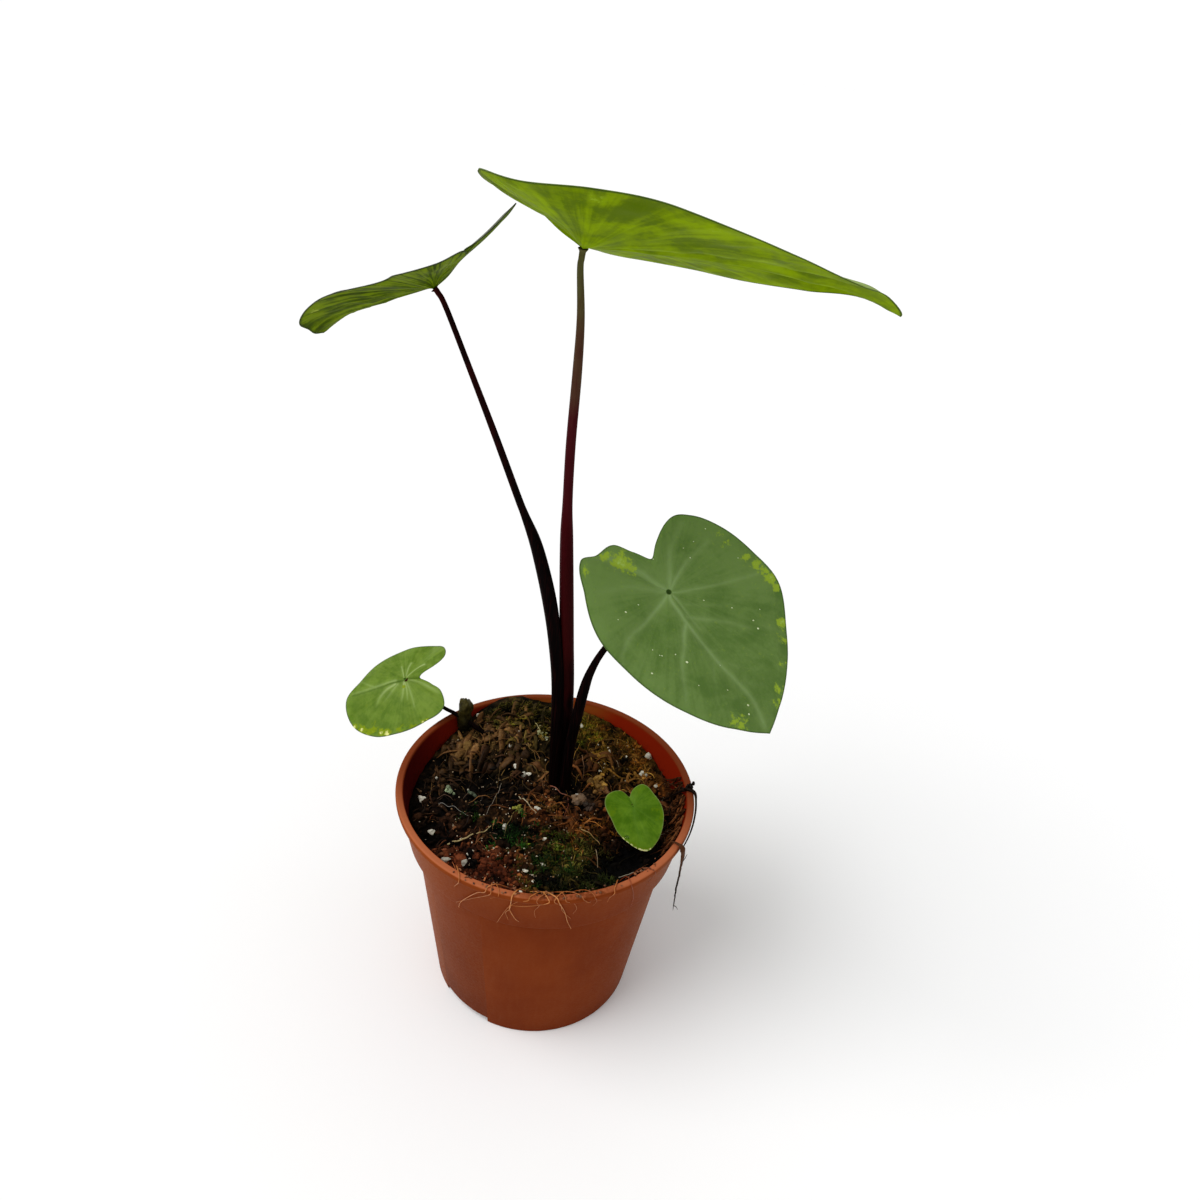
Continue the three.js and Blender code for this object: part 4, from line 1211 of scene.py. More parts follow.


# Colour of the soil's parts: x, y, radius, tone. The two near-black tones lie in the two deep
# hollows and are painted shade.
SOIL_TONES = [
    (-28, 36, 20, "#54452a"), (-8, 44, 16, "#4c4422"),
    (24, 42, 18, "#7a6428"), (38, 26, 14, "#5e4a26"),
    (14, 28, 10, "#3c2418"), (-26, 12, 13, "#0e0b08"),
    (-44, 6, 10, "#1c150e"), (-44, -12, 12, "#2a1c12"),
    (-24, -18, 9, "#3a2a18"), (-2, -6, 10, "#5a3a20"),
    (6, -14, 10, "#54321a"), (18, -14, 9, "#5e3c1c"),
    (-12, -22, 9, "#1c2410"), (8, -22, 8, "#33361a"),
    (-28, -34, 12, "#4a2a1a"), (-14, -42, 12, "#4c2818"),
    (6, -40, 11, "#3a3616"), (20, -36, 9, "#2a2c16"),
    (30, -26, 12, "#0c0907"), (42, -4, 12, "#553418"),
    (48, 12, 10, "#583616"), (12, 4, 6, "#3c342c"),
]


def lit_soil_tone(x, y):
    """Blend of the tones near a place, times the painted share of light that reaches it."""
    x = np.atleast_1d(np.asarray(x, float))
    y = np.atleast_1d(np.asarray(y, float))
    total = np.full((len(x), 1), 0.06)
    blend = total * np.array(linear("#33231a"))
    for cx, cy, radius, code in SOIL_TONES:
        weight = np.exp(-((x - cx) ** 2 + (y - cy) ** 2) / radius**2)[:, None]
        blend = blend + weight * np.array(linear(code))
        total = total + weight
    return blend / total * light_at(x, y)


def toned_finish(name, roughness, gloss, relief_size, relief_depth, shade=0.6):
    """A finish that takes its tone from the shapes, with noise of its own."""
    m = Finish(name, roughness, Specular_IOR_Level=gloss)
    place = m.place()
    tone = m.field("tone", "Color")
    cloud = m.noise(place, relief_size, 5, 0.65)
    dark = m.mix(1.0, tone, (shade, shade, shade), "MULTIPLY")
    body = m.mix(m.ease(cloud, 0.35, 0.65), dark, tone)
    fine = m.noise(place, relief_size / 4, 3, 0.6)
    rough = m.ease(fine, 0.3, 0.7, max(roughness - 0.2, 0.1), min(roughness + 0.1, 1))
    return m.finish(body, rough, m.bump(m.plus(cloud, m.times(fine, 0.5)), relief_depth, 0.8))


soil_finish = toned_finish("soil_mix", 0.75, 0.1, 1.6, 0.5, 0.45)
fibre_finish = toned_finish("fibre", 0.6, 0.14, 1.2, 0.15)
moss_finish = toned_finish("moss", 0.55, 0.14, 1.5, 0.1, 0.5)
perlite_finish = toned_finish("perlite", 0.7, 0.4, 0.7, 0.15, 0.75)
root_finish = toned_finish("fine_root", 0.5, 0.4, 1.5, 0.05, 0.7)


SOIL_GAP = 0.3


def soil_sides(angles):
    """Rings of the soil's foot and sides, just inside the pot."""
    full = FOOT_HEIGHT + FLOOR + SOIL_GAP
    levels = [
        (PAD_RADIUS - 1.1, FLOOR + SOIL_GAP), (PAD_RADIUS + 0.9, full),
        (INNER_FOOT_RADIUS - SOIL_GAP, full), (INNER_BODY_RADIUS - SOIL_GAP, LEDGE_Z - 0.5),
        (INNER_COLLAR_RADIUS - SOIL_GAP, LEDGE_Z + 0.35),
    ]
    around = np.c_[np.cos(angles), np.sin(angles)]
    return [np.c_[around * radius, np.full(len(angles), z)] for radius, z in levels]


def make_soil(sides=300, rings=100):
    """The root ball: close to the model's form, with a crumbly top."""
    angles = 2 * np.pi * np.arange(sides) / sides
    shells = soil_sides(angles)
    bumps = [np.zeros(sides)] * len(shells)
    rim = wall_radius(soil_top(55 * np.cos(angles), 55 * np.sin(angles))) - SOIL_GAP
    for step in range(rings, 0, -1):
        share = step / rings
        x = rim * share * np.cos(angles)
        y = rim * share * np.sin(angles)
        top = np.stack([x, y, soil_top(x, y)], -1)
        rough = 0.9 * grain(top, 3.1, 1) + 0.6 * grain(top, 1.5, 2) + 0.35 * grain(top, 0.7, 5)
        top[:, 2] += rough * smooth(rings - step, -1, 4) - 0.3
        shells.append(top)
        bumps.append(rough)
    foot = [(0, 0, FLOOR + SOIL_GAP)]
    points = np.vstack([foot, *shells, [(0, 0, top_at(0, 0))]])
    faces = capped_faces(len(shells), sides)
    piece = make_piece("soil_ball", points, faces, [soil_finish], ["soil"])
    tone = lit_soil_tone(points[:, 0], points[:, 1])
    deep = smooth(points[:, 2], 80, 86)[:, None]
    raised = np.concatenate([[0], *bumps, [0]])
    # Painted shade: the soil is darker in the low spots of its crumbly top, where little light
    # reaches.
    tone = tone * (0.15 + 0.85 * smooth(raised, -0.7, 0.8))[:, None]
    tone = tone * deep * 0.7 + (1 - deep) * np.array(linear("#2b1c13"))
    add_field(piece, "tone", tone)


make_soil()


SCATTER_RADIUS = 53
WANDER_RADIUS = 54
STALKS_AT = (5, 11)
STALKS_RADIUS = 4.5


def scatter(x, y, spread):
    """A place on the soil near another, inside the pot and clear of the stalks."""
    while True:
        px = x + random.normal() * spread
        py = y + random.normal() * spread
        from_stalks = math.hypot(px - STALKS_AT[0], py - STALKS_AT[1])
        if math.hypot(px, py) < SCATTER_RADIUS and from_stalks > STALKS_RADIUS:
            return px, py


def crumb(centre, size, flatness, rings=4, sides=6, roughness=0.28):
    """An irregular lump."""
    points, faces = ball(rings, sides)
    shift = random.uniform(0, 90, 3)
    bulge = 1 + roughness * grain(points + shift, 0.8, 7)
    turn = Matrix.Rotation(random.uniform(0, 6.28), 3, "Z")
    turn = turn @ Matrix.Rotation(random.normal() * 0.6, 3, "X")
    stretch = np.array([1, random.uniform(0.55, 0.95), flatness]) * size
    return (points * bulge[:, None] * stretch) @ np.array(turn).T + centre, faces


def wander(x, y, length, lift, bend, step=1.2, sink=0.5):
    """A path over the soil that turns at random, sunk in it at both ends, or None if short."""
    heading = random.uniform(0, 2 * math.pi)
    turning = random.normal() * bend
    count = max(int(length / step), 3)
    points = []
    for index in range(count + 1):
        share = index / count
        arc = math.sin(math.pi * share)
        if math.hypot(x, y) > WANDER_RADIUS:
            break
        points.append((x, y, top_at(x, y) + lift * arc - sink * (1 - arc)))
        turning += random.normal() * bend * 0.5
        heading += turning * step
        x += step * math.cos(heading)
        y += step * math.sin(heading)
    return points if len(points) > 3 else None


def varied(tone, amount):
    """A tone made lighter or darker at random."""
    return np.asarray(tone) * math.exp(random.normal() * amount)


def wobbled(points, amount, size, seed):
    """Points moved a little each way by noise."""
    return points + amount * np.stack([grain(points, size, seed + i) for i in range(3)], -1)


# Crumbs of coir and bark: x, y, spread, count, size.
CRUMB_CLUSTERS = [
    (-24, -36, 9, 420, 1.15), (-12, -44, 8, 380, 1.1), (6, -12, 12, 330, 1.05),
    (-40, -14, 9, 120, 1.2), (36, 26, 10, 120, 1.2), (-26, 34, 14, 150, 1.2),
    (20, 36, 14, 130, 1.1), (-44, 10, 8, 70, 1.2), (30, -24, 12, 90, 1.2), (0, 0, 28, 420, 1.0),
    (8, -42, 12, 120, 1.0), (46, 4, 8, 60, 1.3),
]


def make_crumbs():
    heap = Heap()
    for *place, count, typical in CRUMB_CLUSTERS:
        for _ in range(count):
            x, y = scatter(*place)
            size = typical * math.exp(random.normal() * 0.4) * 0.75
            centre = (x, y, top_at(x, y) + size * 0.15)
            points, faces = crumb(centre, size, random.uniform(0.4, 0.8))
            heap.add(points, faces, varied(lit_soil_tone(x, y)[0], 0.45))
    heap.build("soil_crumbs", soil_finish, smoothed=False)


# Strips of bark and coir: x, y, spread, count, half width, lift, bend, tone.
STRIP_CLUSTERS = [
    (-26, 33, 11, 46, 1.7, 1.6, 0.008, "#4c3624"),
    (-26, 32, 13, 46, 0.8, 1.6, 0.03, "#4a3524"),
    (-8, 44, 9, 34, 0.9, 1.4, 0.02, "#48401f"),
    (-38, 22, 8, 24, 1.3, 1.2, 0.012, "#3e2e1c"),
    (-14, 24, 9, 26, 1.1, 1.2, 0.02, "#4c3222"),
    (26, 36, 10, 30, 0.7, 1.3, 0.05, "#6a5024"),
    (20, 24, 6, 22, 1.2, 1.8, 0.015, "#4c2c1a"),
    (38, 18, 8, 18, 0.7, 1.1, 0.05, "#523a20"),
    (-2, -8, 10, 26, 0.7, 1.0, 0.03, "#604228"),
    (16, -14, 8, 24, 0.7, 1.3, 0.03, "#6a4828"),
    (-30, -26, 10, 22, 0.55, 0.9, 0.05, "#5c3e28"),
    (-14, -40, 9, 7, 0.5, 0.7, 0.02, "#6a4430"),
    (-44, 0, 8, 18, 0.7, 1.0, 0.04, "#3c2c1c"),
    (12, -44, 9, 18, 0.5, 0.9, 0.05, "#3c361c"),
    (46, -4, 6, 26, 0.7, 1.4, 0.05, "#5a3c22"),
]


def make_strips():
    heap = Heap()
    for *place, count, half_width, lift, bend, code in STRIP_CLUSTERS:
        for _ in range(count):
            x, y = scatter(*place)
            path = wander(x, y, random.uniform(5, 14), lift * random.uniform(0.4, 1.3), bend)
            if path is None:
                continue
            path = curve_through(path[:: max(len(path) // 5, 1)], 3)
            share = np.linspace(0, 1, len(path))
            width = half_width * random.uniform(0.5, 1.3) * (0.5 + 0.5 * np.sin(np.pi * share))
            flat = random.uniform(0.18, 0.4)
            points, faces = tube(path, width, 6, flat, random.uniform(-0.9, 0.9))
            tone = 0.6 * np.array(linear(code)) * light_at(x, y)[0] + 0.4 * lit_soil_tone(x, y)[0]
            heap.add(wobbled(points, 0.18, 1.3, 11), faces, varied(tone, 0.4))
    heap.build("bark_strips", fibre_finish)


# Fine fibres: x, y, spread, count, lift, tone.
FIBRE_CLUSTERS = [
    (0, 0, 30, 90, 1.4, "#54402a"), (-26, 30, 14, 60, 1.8, "#6a5a3a"),
    (26, 36, 12, 90, 1.8, "#7c6634"), (4, -10, 12, 46, 1.4, "#6e4c2a"),
    (-20, -38, 12, 24, 1.1, "#7a4e34"), (14, -40, 12, 60, 1.4, "#544c26"),
    (-40, -4, 9, 20, 1.2, "#64554a"), (46, -2, 7, 60, 1.6, "#4a3828"),
]


def make_fibres():
    heap = Heap()
    for *place, count, lift, code in FIBRE_CLUSTERS:
        for _ in range(count):
            x, y = scatter(*place)
            path = wander(x, y, random.uniform(4, 14), lift * random.uniform(0.3, 1.3), 0.045, 1.4)
            if path is None:
                continue
            thickness = math.exp(random.normal() * 0.35) * 0.14
            points, faces = tube(curve_through(path, 2), thickness, 3)
            heap.add(points, faces, varied(np.array(linear(code)) * light_at(x, y)[0], 0.45))
    heap.build("coir_fibres", fibre_finish)


# Moss: x, y, spread, tufts, strand length, tone.
MOSS_CLUSTERS = [
    (27, 42, 8, 80, 3.0, "#685620"), (16, 48, 6, 45, 3.0, "#646020"),
    (36, 33, 6, 50, 2.8, "#704f22"), (30, 50, 5, 35, 2.8, "#725022"),
    (16, 38, 4, 26, 2.4, "#4e5218"), (40, 26, 5, 24, 2.4, "#5a4420"),
    (-10, 51, 7, 60, 2.8, "#5c5824"), (-22, 49, 5, 45, 2.6, "#504e20"),
    (-30, 44, 6, 24, 2.4, "#3e3e1e"), (2, 52, 5, 30, 2.6, "#4a4a1c"),
    (-12, -22, 4.5, 60, 2.6, "#26481a"), (9, -22, 5, 36, 2.4, "#4c5820"),
    (4, -35, 6, 70, 2.6, "#263c18"), (6, -42, 7, 55, 2.6, "#45441c"),
    (18, -40, 6, 50, 2.6, "#303a18"), (19, -18, 5, 50, 2.4, "#62461c"),
    (-30, -10, 3, 12, 2.2, "#2c4a18"), (2, -2, 5, 20, 2.0, "#5e4a22"),
    (18, -24, 4, 40, 3.0, "#5a5a2c"),
]
MOSS_STRANDS = 12


def moss_strand(foot, length):
    """A three sided strand that leans out and bends further towards its end."""
    lean = random.uniform(0.15, 1.1)
    turn = random.uniform(0, 2 * math.pi)
    out = np.array([math.cos(turn), math.sin(turn), 0])
    half = length * random.uniform(0.5, 1.1) / 2
    line = [np.array(foot) + out * random.uniform(0, 0.9)]
    for share in (0.6, 1.4):
        ahead = out * math.sin(lean * share) + (0, 0, math.cos(lean * share))
        line.append(line[-1] + ahead * half)
    return tube(line, (0.2, 0.24, 0.06), 3)


def make_moss():
    heap = Heap()
    for *place, count, length, code in MOSS_CLUSTERS:
        for _ in range(count):
            x, y = scatter(*place)
            foot = (x, y, top_at(x, y) - 0.3)
            shade = varied(np.array(linear(code)) * light_at(x, y)[0], 0.3)
            for _ in range(MOSS_STRANDS):
                points, faces = moss_strand(foot, length)
                heap.add(points, faces, varied(shade, 0.2))
    heap.build("moss_tufts", moss_finish)


# Perlite: x, y, size in millimetres across.
PERLITE = [
    (13, 44.7, 3.0), (-17, 28.7, 2.2), (-14, 19.7, 2.8), (-10, 15.7, 2.6), (-8, 15.2, 1.8),
    (-50, -2.3, 3.4), (-34, -13.3, 2.6), (-43, -21.3, 2.8), (-15, -17.3, 2.6), (-3, -6.3, 2.8),
    (1, -22.3, 1.8), (1, -35.3, 2.4), (-5, -40.3, 2.0), (-6, -51.3, 1.8), (-28, -38.3, 3.2),
    (-26.4, -36.5, 1.8), (-35, -36.3, 3.0), (-26, -32.3, 2.2), (40, 21.7, 3.0), (42, 20.7, 2.0),
    (43, 31.7, 3.2), (29, 36.7, 1.8), (26, 29.7, 1.8), (-33, 43.7, 1.6), (13, 5.7, 2.2),
    (-27, 26.7, 1.8), (-22, -31.3, 1.4), (-12, -32.3, 1.4), (-2, -45.3, 1.4), (33, 28.7, 1.6),
    (46, 14.7, 1.6), (-46, 10.7, 1.4), (4, -29.3, 1.3), (-18, -48.3, 1.5), (22, 18.7, 1.4),
    (-3.7, -6.8, 1.8), (42.6, 32, 2.0), (-27.7, -32.3, 1.6), (-35.8, -36.6, 2.4),
    (-5.7, -40.3, 1.6),
]


# Small pale specks: x, y, spread, count.
SPECK_CLUSTERS = [
    (-14, -36, 12, 80), (0, -8, 14, 70), (-40, -12, 9, 36), (28, 28, 13, 60), (-12, 24, 15, 60),
    (6, -24, 10, 30), (42, 6, 7, 26), (4, -42, 10, 30), (-26, 36, 11, 36),
]

# Clumps: x, y, spread, count, size, tone.
CLUMPS = [
    (14, 2.2, 1.3, 22, 1.5, "#6a5440"), (12.8, 5, 0.6, 5, 0.7, "#aaa49a"),
    (17.6, -0.6, 1.2, 9, 1.2, "#3c2c20"), (-11.2, -7.4, 0.9, 9, 0.95, "#8c8c38"),
    (-9.8, -10, 0.9, 5, 0.8, "#5c6426"), (21, 11.6, 1.6, 30, 1.2, "#8a6832"),
    (23.6, 8.8, 1.3, 10, 1.0, "#6a4826"), (-4, 39, 1.0, 8, 0.8, "#96946c"),
    (-2, 36.6, 0.8, 5, 0.6, "#80806a"), (-31, 5, 1.0, 5, 0.9, "#4a5242"),
    (-39.4, 3.2, 1.0, 8, 1.1, "#7e8a6c"), (-8, -4, 1.6, 8, 0.7, "#7a5a34"),
    (2, -5, 2.4, 12, 0.7, "#8a6238"), (-41, 30, 1.4, 8, 0.9, "#4e3a24"),
]


def add_specks(heap):
    dark = np.array(linear("#8c6a44"))
    light = np.array(linear("#e0d6c2"))
    for *place, count in SPECK_CLUSTERS:
        for _ in range(count):
            x, y = scatter(*place)
            size = random.uniform(0.18, 0.5)
            points, faces = crumb((x, y, top_at(x, y) + 0.9), size, 0.7, roughness=0.4)
            pale = random.random() ** 2
            tone = (1 - pale) * dark + pale * light
            heap.add(points, faces, tone * random.uniform(0.5, 1.1))


def make_clumps():
    heap = Heap()
    add_specks(heap)
    for cx, cy, spread, count, size, code in CLUMPS:
        for _ in range(count):
            x = cx + random.normal() * spread
            y = cy + random.normal() * spread
            lift = random.uniform(0.2, 0.8) * size + 0.5
            lump = size * random.uniform(0.6, 1.2)
            points, faces = crumb((x, y, top_at(x, y) + lift), lump, 0.75, 7, 10, 0.5)
            heap.add(points, faces, varied(linear(code), 0.3))
    heap.build("clumps", perlite_finish, smoothed=False)


def make_perlite():
    heap = Heap()
    for x, y, across in PERLITE:
        centre = (x, y, top_at(x, y) + 0.3 * across)
        points, faces = crumb(centre, across / 2, 0.7, 8, 11, 0.5)
        heap.add(points, faces, np.array(linear("#e0dac8")) * random.uniform(0.45, 1.15))
    heap.build("perlite_grains", perlite_finish, smoothed=False)


# Single loose roots on the soil: x, y pairs from end to end, radius, lift, tone.
LOOSE_ROOTS = [
    ([(-36, -28), (-27, -23), (-19, -16)], 0.42, 1.2, "#a8956a"),
    ([(-19, 12), (-20, 1), (-23, -11)], 0.16, 2.2, "#8d8478"),
    ([(-44, -5), (-37, -7), (-30, -12)], 0.16, 1.6, "#8a8680"),
    ([(-11, 1), (-8, -5), (-3, -9)], 0.22, 1.8, "#b8aa8c"),
    ([(1, 8.5), (5, 5), (9.5, 3)], 0.3, 1.6, "#8a5a48"),
    ([(9, 3), (9.5, -2), (8, -7)], 0.22, 1.2, "#6e3c2c"),
    ([(15, -15), (19, -17), (24, -21)], 0.25, 2.0, "#9c7f52"),
    ([(21, -22), (22, -27), (22, -33)], 0.25, 2.4, "#8c7a62"),
    ([(-8, 45), (-6, 41), (-3, 36)], 0.25, 1.8, "#b3a878"),
    ([(26, 29), (28, 26), (30, 21)], 0.2, 1.8, "#a3957c"),
    ([(14, 28), (15, 20), (15, 14)], 0.2, 1.6, "#8a6a50"),
    ([(-12, -10), (-14, -17), (-15, -24)], 0.2, 1.8, "#7c6a3c"),
    ([(30, -38), (36, -36), (41, -33)], 0.22, 1.4, "#8a8272"),
    ([(38, -20), (45, -16), (51, -12)], 0.22, 2.4, "#77706a"),
]


def make_loose_roots():
    heap = Heap()
    for places, radius, lift, code in LOOSE_ROOTS:
        flat = curve_through(places, 10)
        share = np.linspace(0, 1, len(flat))
        z = soil_top(flat[:, 0], flat[:, 1]) + lift * (0.35 + 0.65 * np.sin(np.pi * share))
        z = z + 0.25 * grain(np.c_[flat, z], 2.5, 21)
        points, faces = tube(np.c_[flat, z], radius * (1 - 0.5 * share), 6)
        heap.add(points, faces, linear(code))
    heap.build("loose_roots", root_finish)


make_crumbs()
make_strips()
make_fibres()
make_moss()
make_clumps()
make_perlite()
make_loose_roots()


# Roots over the rim


def outer_radius(z):
    """Outer radius of the pot at a height."""
    lip_foot = POT_HEIGHT - LIP_THICKNESS
    collar = np.interp(z, [COLLAR_FOOT_Z, lip_foot], [COLLAR_FOOT_RADIUS, COLLAR_TOP_RADIUS])
    body = np.interp(z, [0, COLLAR_FOOT_Z], [FOOT_RADIUS, BODY_TOP_RADIUS])
    return np.where(z > lip_foot, LIP_RADIUS, np.where(z > COLLAR_FOOT_Z, collar, body))


# Each hanging root: degrees and heights down the outside, radius, tone.
RIM_ROOTS = [
    ([(-118, 99), (-120, 95), (-121.5, 92.5)], 0.2, "#b0764a"),
    ([(-108, 99.5), (-112, 95), (-119, 85), (-121, 80), (-124, 74)], 0.2, "#b8805a"),
    ([(-106, 99.5), (-111, 93), (-116, 88), (-122, 82)], 0.16, "#a87048"),
    ([(-98.5, 100), (-99, 95), (-99.5, 91), (-97.5, 86), (-96, 83.5)], 0.22, "#c08a5c"),
    ([(-99, 95), (-99.5, 91), (-101, 88), (-100, 84)], 0.14, "#b37c50"),
    ([(-93, 100), (-96.5, 97), (-100, 92), (-104.5, 80)], 0.16, "#b07848"),
    ([(-86, 99.8), (-90, 96), (-95, 94.5), (-99, 94)], 0.18, "#b98254"),
    ([(-82.5, 100), (-81, 95), (-79.5, 91), (-78, 85), (-76, 79.5)], 0.2, "#c08c60"),
    ([(-84, 100), (-81.5, 96), (-80.5, 92), (-77, 86.5)], 0.16, "#b78058"),
    ([(-80, 100), (-77, 97), (-75.5, 93), (-76.5, 90)], 0.14, "#a87048"),
    ([(-63, 100), (-63.5, 96), (-64, 93.5)], 0.18, "#b0764a"),
    ([(-56, 100), (-53, 94), (-51, 87), (-50.5, 81)], 0.14, "#8a4a2c"),
    ([(-74, 100), (-72, 98), (-70, 97.2), (-67.5, 97.8)], 0.16, "#a06a40"),
    ([(-70, 100), (-68.5, 96), (-69.5, 93.5)], 0.14, "#9c6238"),
    ([(-90, 100), (-89, 96), (-90.5, 92), (-90, 88)], 0.12, "#a87048"),
    ([(-103, 100), (-104, 97), (-106.5, 95)], 0.14, "#b0764a"),
    ([(-45, 100), (-44, 96), (-46, 92)], 0.14, "#7a4a30"),
]


RIM_ROOT_TINT = (1.1, 0.85, 0.6)
RIM_DIRT_COUNT = 70

# Where a root crosses the rim: radius and height, or None for just under the soil's top.
RIM_CROSSING = [(50, None), (54.5, 98), (57.2, POT_HEIGHT + 0.35), (59.4, POT_HEIGHT + 0.4)]


def over_the_rim(degrees):
    """Path of a root from the soil up over the lip."""
    slant = random.uniform(-1.3, 1.3)
    path = []
    for reach, z in RIM_CROSSING:
        angle = math.radians(degrees + slant * (LIP_RADIUS - reach))
        x = reach * math.cos(angle)
        y = reach * math.sin(angle)
        path.append((x, y, top_at(x, y) - 0.5 if z is None else z))
    return path


def make_rim_roots():
    """Roots that hang over the rim, and dirt on the lip. A root that starts low is a branch."""
    heap = Heap()
    for places, radius, code in RIM_ROOTS:
        path = over_the_rim(places[0][0])
        if places[0][1] < 96:
            path = []
        for degrees, z in places:
            reach = float(outer_radius(z)) + radius + 0.15 + 0.5 * random.random()
            angle = math.radians(degrees)
            path.append((reach * math.cos(angle), reach * math.sin(angle), z - 0.4))
        line = curve_through(path, 6)
        share = np.linspace(0, 1, len(line))
        points, faces = tube(line, 1.25 * radius * (1.1 - 0.75 * share), 6)
        heap.add(points, faces, np.array(linear(code)) * RIM_ROOT_TINT)
    for _ in range(RIM_DIRT_COUNT):
        angle = math.radians(random.uniform(-122, -40))
        reach = random.uniform(56, 59.6)
        place = (math.cos(angle) * reach, math.sin(angle) * reach, POT_HEIGHT + 0.2)
        points, faces = crumb(place, random.uniform(0.25, 0.7), 0.6)
        heap.add(points, faces, varied(linear("#643e26"), 0.4))
    heap.build("rim_roots", root_finish)


make_rim_roots()


# Bark lump, dry strip and debris at the rim


def make_bark():
    points, faces = ball(40, 56)
    points[:, :2] *= 1 + points[:, 2:] ** 2
    shaped = points * (BARK_WIDTH, BARK_WIDTH, BARK_HALF_HEIGHT)
    rough = 1 + 0.2 * grain(shaped, 2.6, 31) + 0.1 * grain(shaped, 1.1, 32)
    place = shaped * rough[:, None] + BARK_AT
    tone = np.array(linear("#4c4520")) * (0.8 + 0.4 * grain(place, 2, 33))[:, None]
    tone = tone * (0.3 + 0.7 * smooth(place[:, 2], 98, 104))[:, None]
    piece = make_piece("bark_piece", place, faces, [fibre_finish], ["bark_lump"])
    add_field(piece, "tone", tone)


# Hairs of the dry strip: radius and height at both ends, thickness.
STRIP_HAIRS = [((61.9, 69), (63.6, 66.5), 0.2), ((61.9, 92), (63.2, 97), 0.25)]


def make_dry_strip():
    turn = math.radians(STRIP_ANGLE)
    out = np.array([math.cos(turn), math.sin(turn), 0])
    along = np.array([-out[1], out[0], 0])
    path = curve_through(STRIP_PATH, 10)
    share = np.linspace(0, 1, len(path))
    sway = 0.35 * np.sin(9 * share) * share
    centres = path[:, :1] * out + path[:, 1:] * np.array([0, 0, 1]) + sway[:, None] * along
    heap = Heap()
    width = np.interp(share, *zip(*STRIP_WIDTHS)) * (1 + 0.12 * np.sin(23 * share))
    points, faces = tube(centres, width, 12, 0.45, 0.55)
    points = wobbled(points, 0.16, 1.2, 41)
    drop = smooth(POT_HEIGHT - points[:, 2:], 2, 20)
    tone = (1 - drop) * np.array(linear("#54331c")) + drop * np.array(linear("#241810"))
    heap.add(points, faces, tone)
    for start, end, radius in STRIP_HAIRS:
        root = out * start[0] + (0, 0, start[1])
        tip = out * end[0] + along * 1.2 + (0, 0, end[1])
        hair = curve_through([root, (root + tip) / 2 + along * 0.5, tip], 6)
        points, faces = tube(hair, np.linspace(radius, 0.08, len(hair)), 6)
        heap.add(points, faces, linear("#2a1a10"))
    piece = heap.build("dry_root_strip", fibre_finish)
    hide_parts("dry_strip")


# Debris at the right of the rim: lumps as offset and size, a root over the lip as points and as
# degrees and heights round it, and threads down the inside.
RIM_LUMPS_AT = (57, 3.2, POT_HEIGHT)
RIM_LUMPS = [
    ((0, 0, 0.8), 1.2), ((1.6, 0.6, 1.4), 1.3), ((2.6, 1.2, 2.4), 0.9), ((-1.4, -0.4, 0.2), 1.0),
    ((0.8, 1.4, 0.8), 0.8),
]
LIP_ROOT_START = [(48, 6, 90), (53, 4.5, 96), (57, 3, 100.3), (60.2, 1, 100.4)]
LIP_ROOT_ROUND = [(-4, 99.8), (-9, 99.3), (-15, 98.8), (-21, 98.4), (-26, 98.2), (-29, 97.6)]
LIP_ROOT_REACH = 60.6
THREAD_COUNT = 110


def inner_thread():
    """Path of a thread that hangs down inside the wall and leaves it towards its end."""
    angle = math.radians(random.uniform(-24, 13))
    drift = random.normal() * 0.03
    top = random.uniform(91, 99.4)
    line = []
    for step in range(5):
        z = top - step * random.uniform(1.2, 2.4)
        reach = float(wall_radius(z)) - 0.5 - 0.9 * step**1.3 * random.uniform(0.3, 0.9)
        turned = angle + drift * step + random.normal() * 0.008
        line.append((reach * math.cos(turned), reach * math.sin(turned), z))
    return line


def make_rim_debris():
    heap = Heap()
    for offset, size in RIM_LUMPS:
        points, faces = crumb(np.add(RIM_LUMPS_AT, offset), size, 0.8, 9, 12, 0.35)
        heap.add(points, faces, varied(linear("#1e130c"), 0.2))
    line = list(LIP_ROOT_START)
    for degrees, z in LIP_ROOT_ROUND:
        angle = math.radians(degrees)
        line.append((LIP_ROOT_REACH * math.cos(angle), LIP_ROOT_REACH * math.sin(angle), z))
    path = curve_through(line, 6)
    points, faces = tube(path, np.interp(path[:, 1], [-28, -2, 2.5, 5], [0.25, 0.45, 0.8, 0.3]), 7)
    heap.add(points, faces, linear("#241710"))
    for _ in range(THREAD_COUNT):
        path = curve_through(inner_thread(), 3)
        points, faces = tube(path, random.uniform(0.15, 0.55), 5, 0.6)
        heap.add(points, faces, varied(linear("#5a3920"), 0.5))
    heap.build("rim_debris", fibre_finish)


make_bark()
make_dry_strip()
make_rim_debris()


# Corm, which stays as the model has it


def corm_finish():
    m = Finish("corm_skin", 0.8)
    place = m.place()
    bands = m.noise(m.stretch(place, (0.25, 0.25, 1.6)), 1, 4)
    body = m.mix(m.ease(bands, 0.35, 0.65), "#4a3020", "#7a5638")
    return m.finish(body, m.ease(bands, 0.3, 0.7, 0.7, 0.9), m.bump(bands, 0.4, 0.8))


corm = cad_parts["corm"]
corm.data.materials.clear()
corm.data.materials.append(corm_finish())


# Droplet on the young leaf


def make_droplet():
    m = Finish("water", 0.03, Transmission_Weight=1.0, IOR=1.33)
    points, faces = ball(16, 24)
    points = set_on(young_surface, 12.4, -6.2, points * (1.0, 0.75, 0.5))
    make_piece("droplet", points, faces, [m.material])


make_droplet()


# Stage


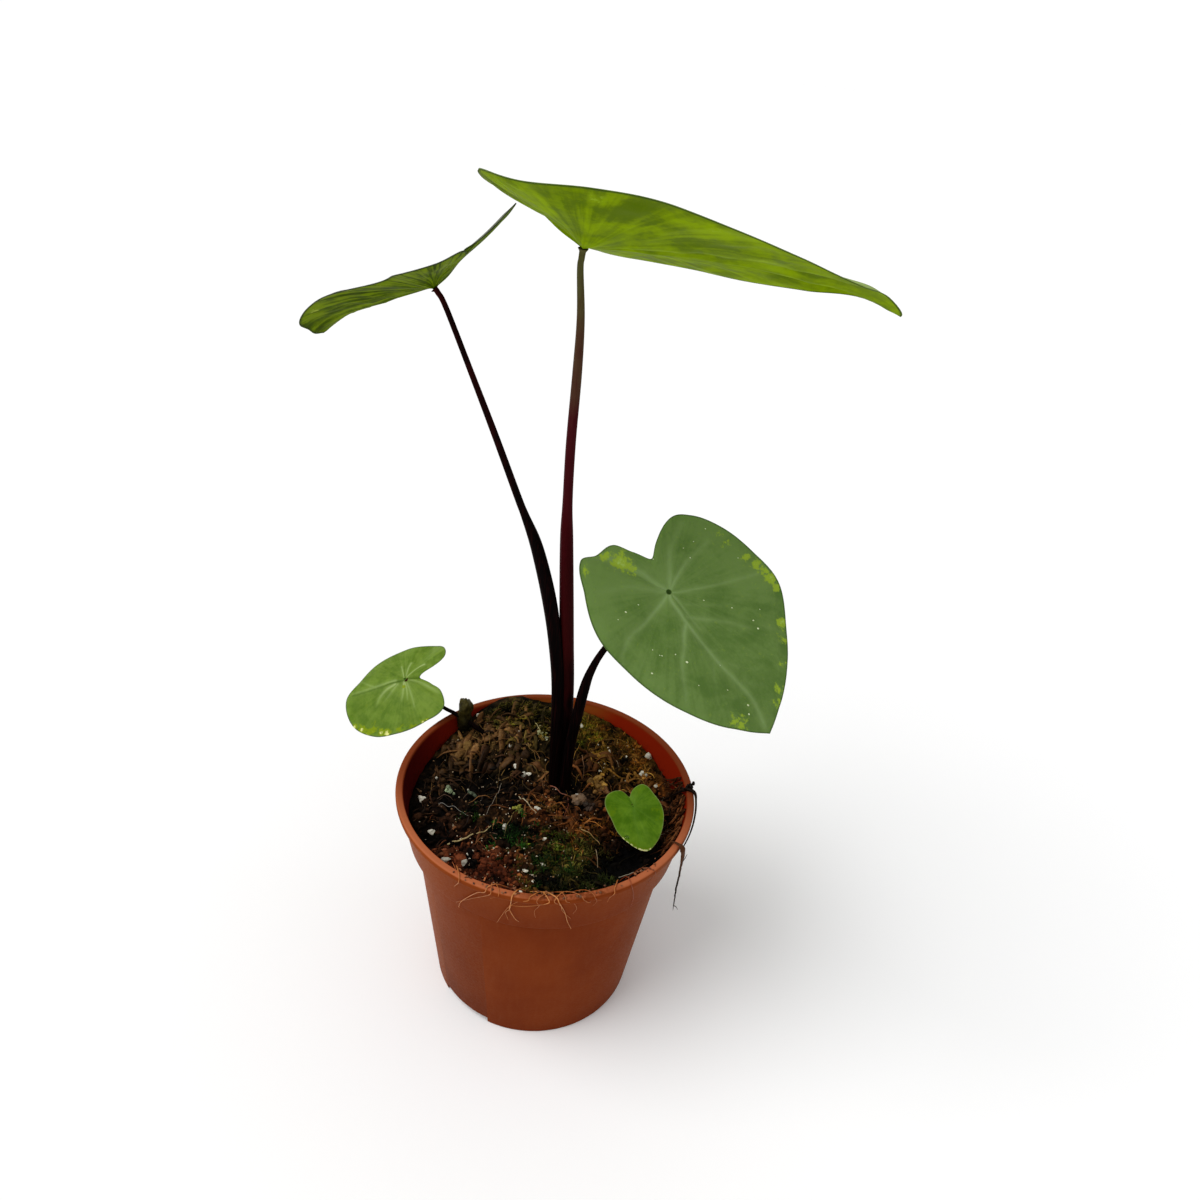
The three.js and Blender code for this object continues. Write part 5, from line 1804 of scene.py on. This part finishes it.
def make_stage():
    half = 6000
    mesh = bpy.data.meshes.new("floor")
    corners = [(-half, -half, 0), (half, -half, 0), (half, half, 0), (-half, half, 0)]
    mesh.from_pydata([tuple(c * MM for c in corner) for corner in corners], [], [(0, 1, 2, 3)])
    floor = bpy.data.objects.new("floor", mesh)
    bpy.context.scene.collection.objects.link(floor)
    m = Finish("floor_white", 0.7, Specular_IOR_Level=0.2)
    shade = m.noise(m.place(), 900, 2)
    m.finish(m.mix(m.ease(shade, 0.3, 0.7), (0.95, 0.95, 0.95), (0.97, 0.97, 0.97)))
    mesh.materials.append(m.material)


def make_light():
    sun = bpy.data.lights.new("key", "SUN")
    sun.energy = KEY_STRENGTH
    sun.angle = math.radians(KEY_WIDTH)
    lamp = bpy.data.objects.new("key", sun)
    bpy.context.scene.collection.objects.link(lamp)
    turn = Matrix.Rotation(math.radians(KEY_AZIMUTH), 4, "Z")
    lamp.matrix_world = turn @ Matrix.Rotation(math.radians(90 - KEY_ELEVATION), 4, "X")
    world = bpy.data.worlds.new("surround")
    world.use_nodes = True
    nodes = world.node_tree.nodes
    links = world.node_tree.links
    sky = nodes["Background"]
    sky.inputs["Color"].default_value = (1, 1, 1, 1)
    sky.inputs["Strength"].default_value = SURROUND_STRENGTH
    backdrop = nodes.new("ShaderNodeBackground")
    backdrop.inputs["Strength"].default_value = BACKDROP_STRENGTH
    seen = nodes.new("ShaderNodeLightPath")
    choice = nodes.new("ShaderNodeMixShader")
    links.new(seen.outputs["Is Camera Ray"], choice.inputs[0])
    links.new(sky.outputs[0], choice.inputs[1])
    links.new(backdrop.outputs[0], choice.inputs[2])
    links.new(choice.outputs[0], nodes["World Output"].inputs["Surface"])
    bpy.context.scene.world = world


def make_grade():
    view = bpy.context.scene.view_settings
    view.view_transform = "Standard"
    view.use_curve_mapping = True
    tone = view.curve_mapping.curves[3]
    while len(tone.points) < len(GRADE):
        tone.points.new(0.5, 0.5)
    for point, place in zip(tone.points, GRADE):
        point.location = place
    view.curve_mapping.update()


def make_camera():
    data = bpy.data.cameras.new("camera")
    data.lens = CAMERA_LENS
    data.sensor_width = CAMERA_SENSOR
    data.clip_start = 0.01
    data.clip_end = 20
    camera = bpy.data.objects.new("camera", data)
    bpy.context.scene.collection.objects.link(camera)
    turn = Matrix.Rotation(math.radians(CAMERA_YAW), 4, "Z")
    turn = turn @ Matrix.Rotation(math.radians(90 - CAMERA_PITCH), 4, "X")
    turn = turn @ Matrix.Rotation(math.radians(CAMERA_ROLL), 4, "Z")
    camera.matrix_world = Matrix.Translation([c * MM for c in CAMERA_AT]) @ turn
    bpy.context.scene.camera = camera


make_stage()
make_light()
make_camera()
make_grade()
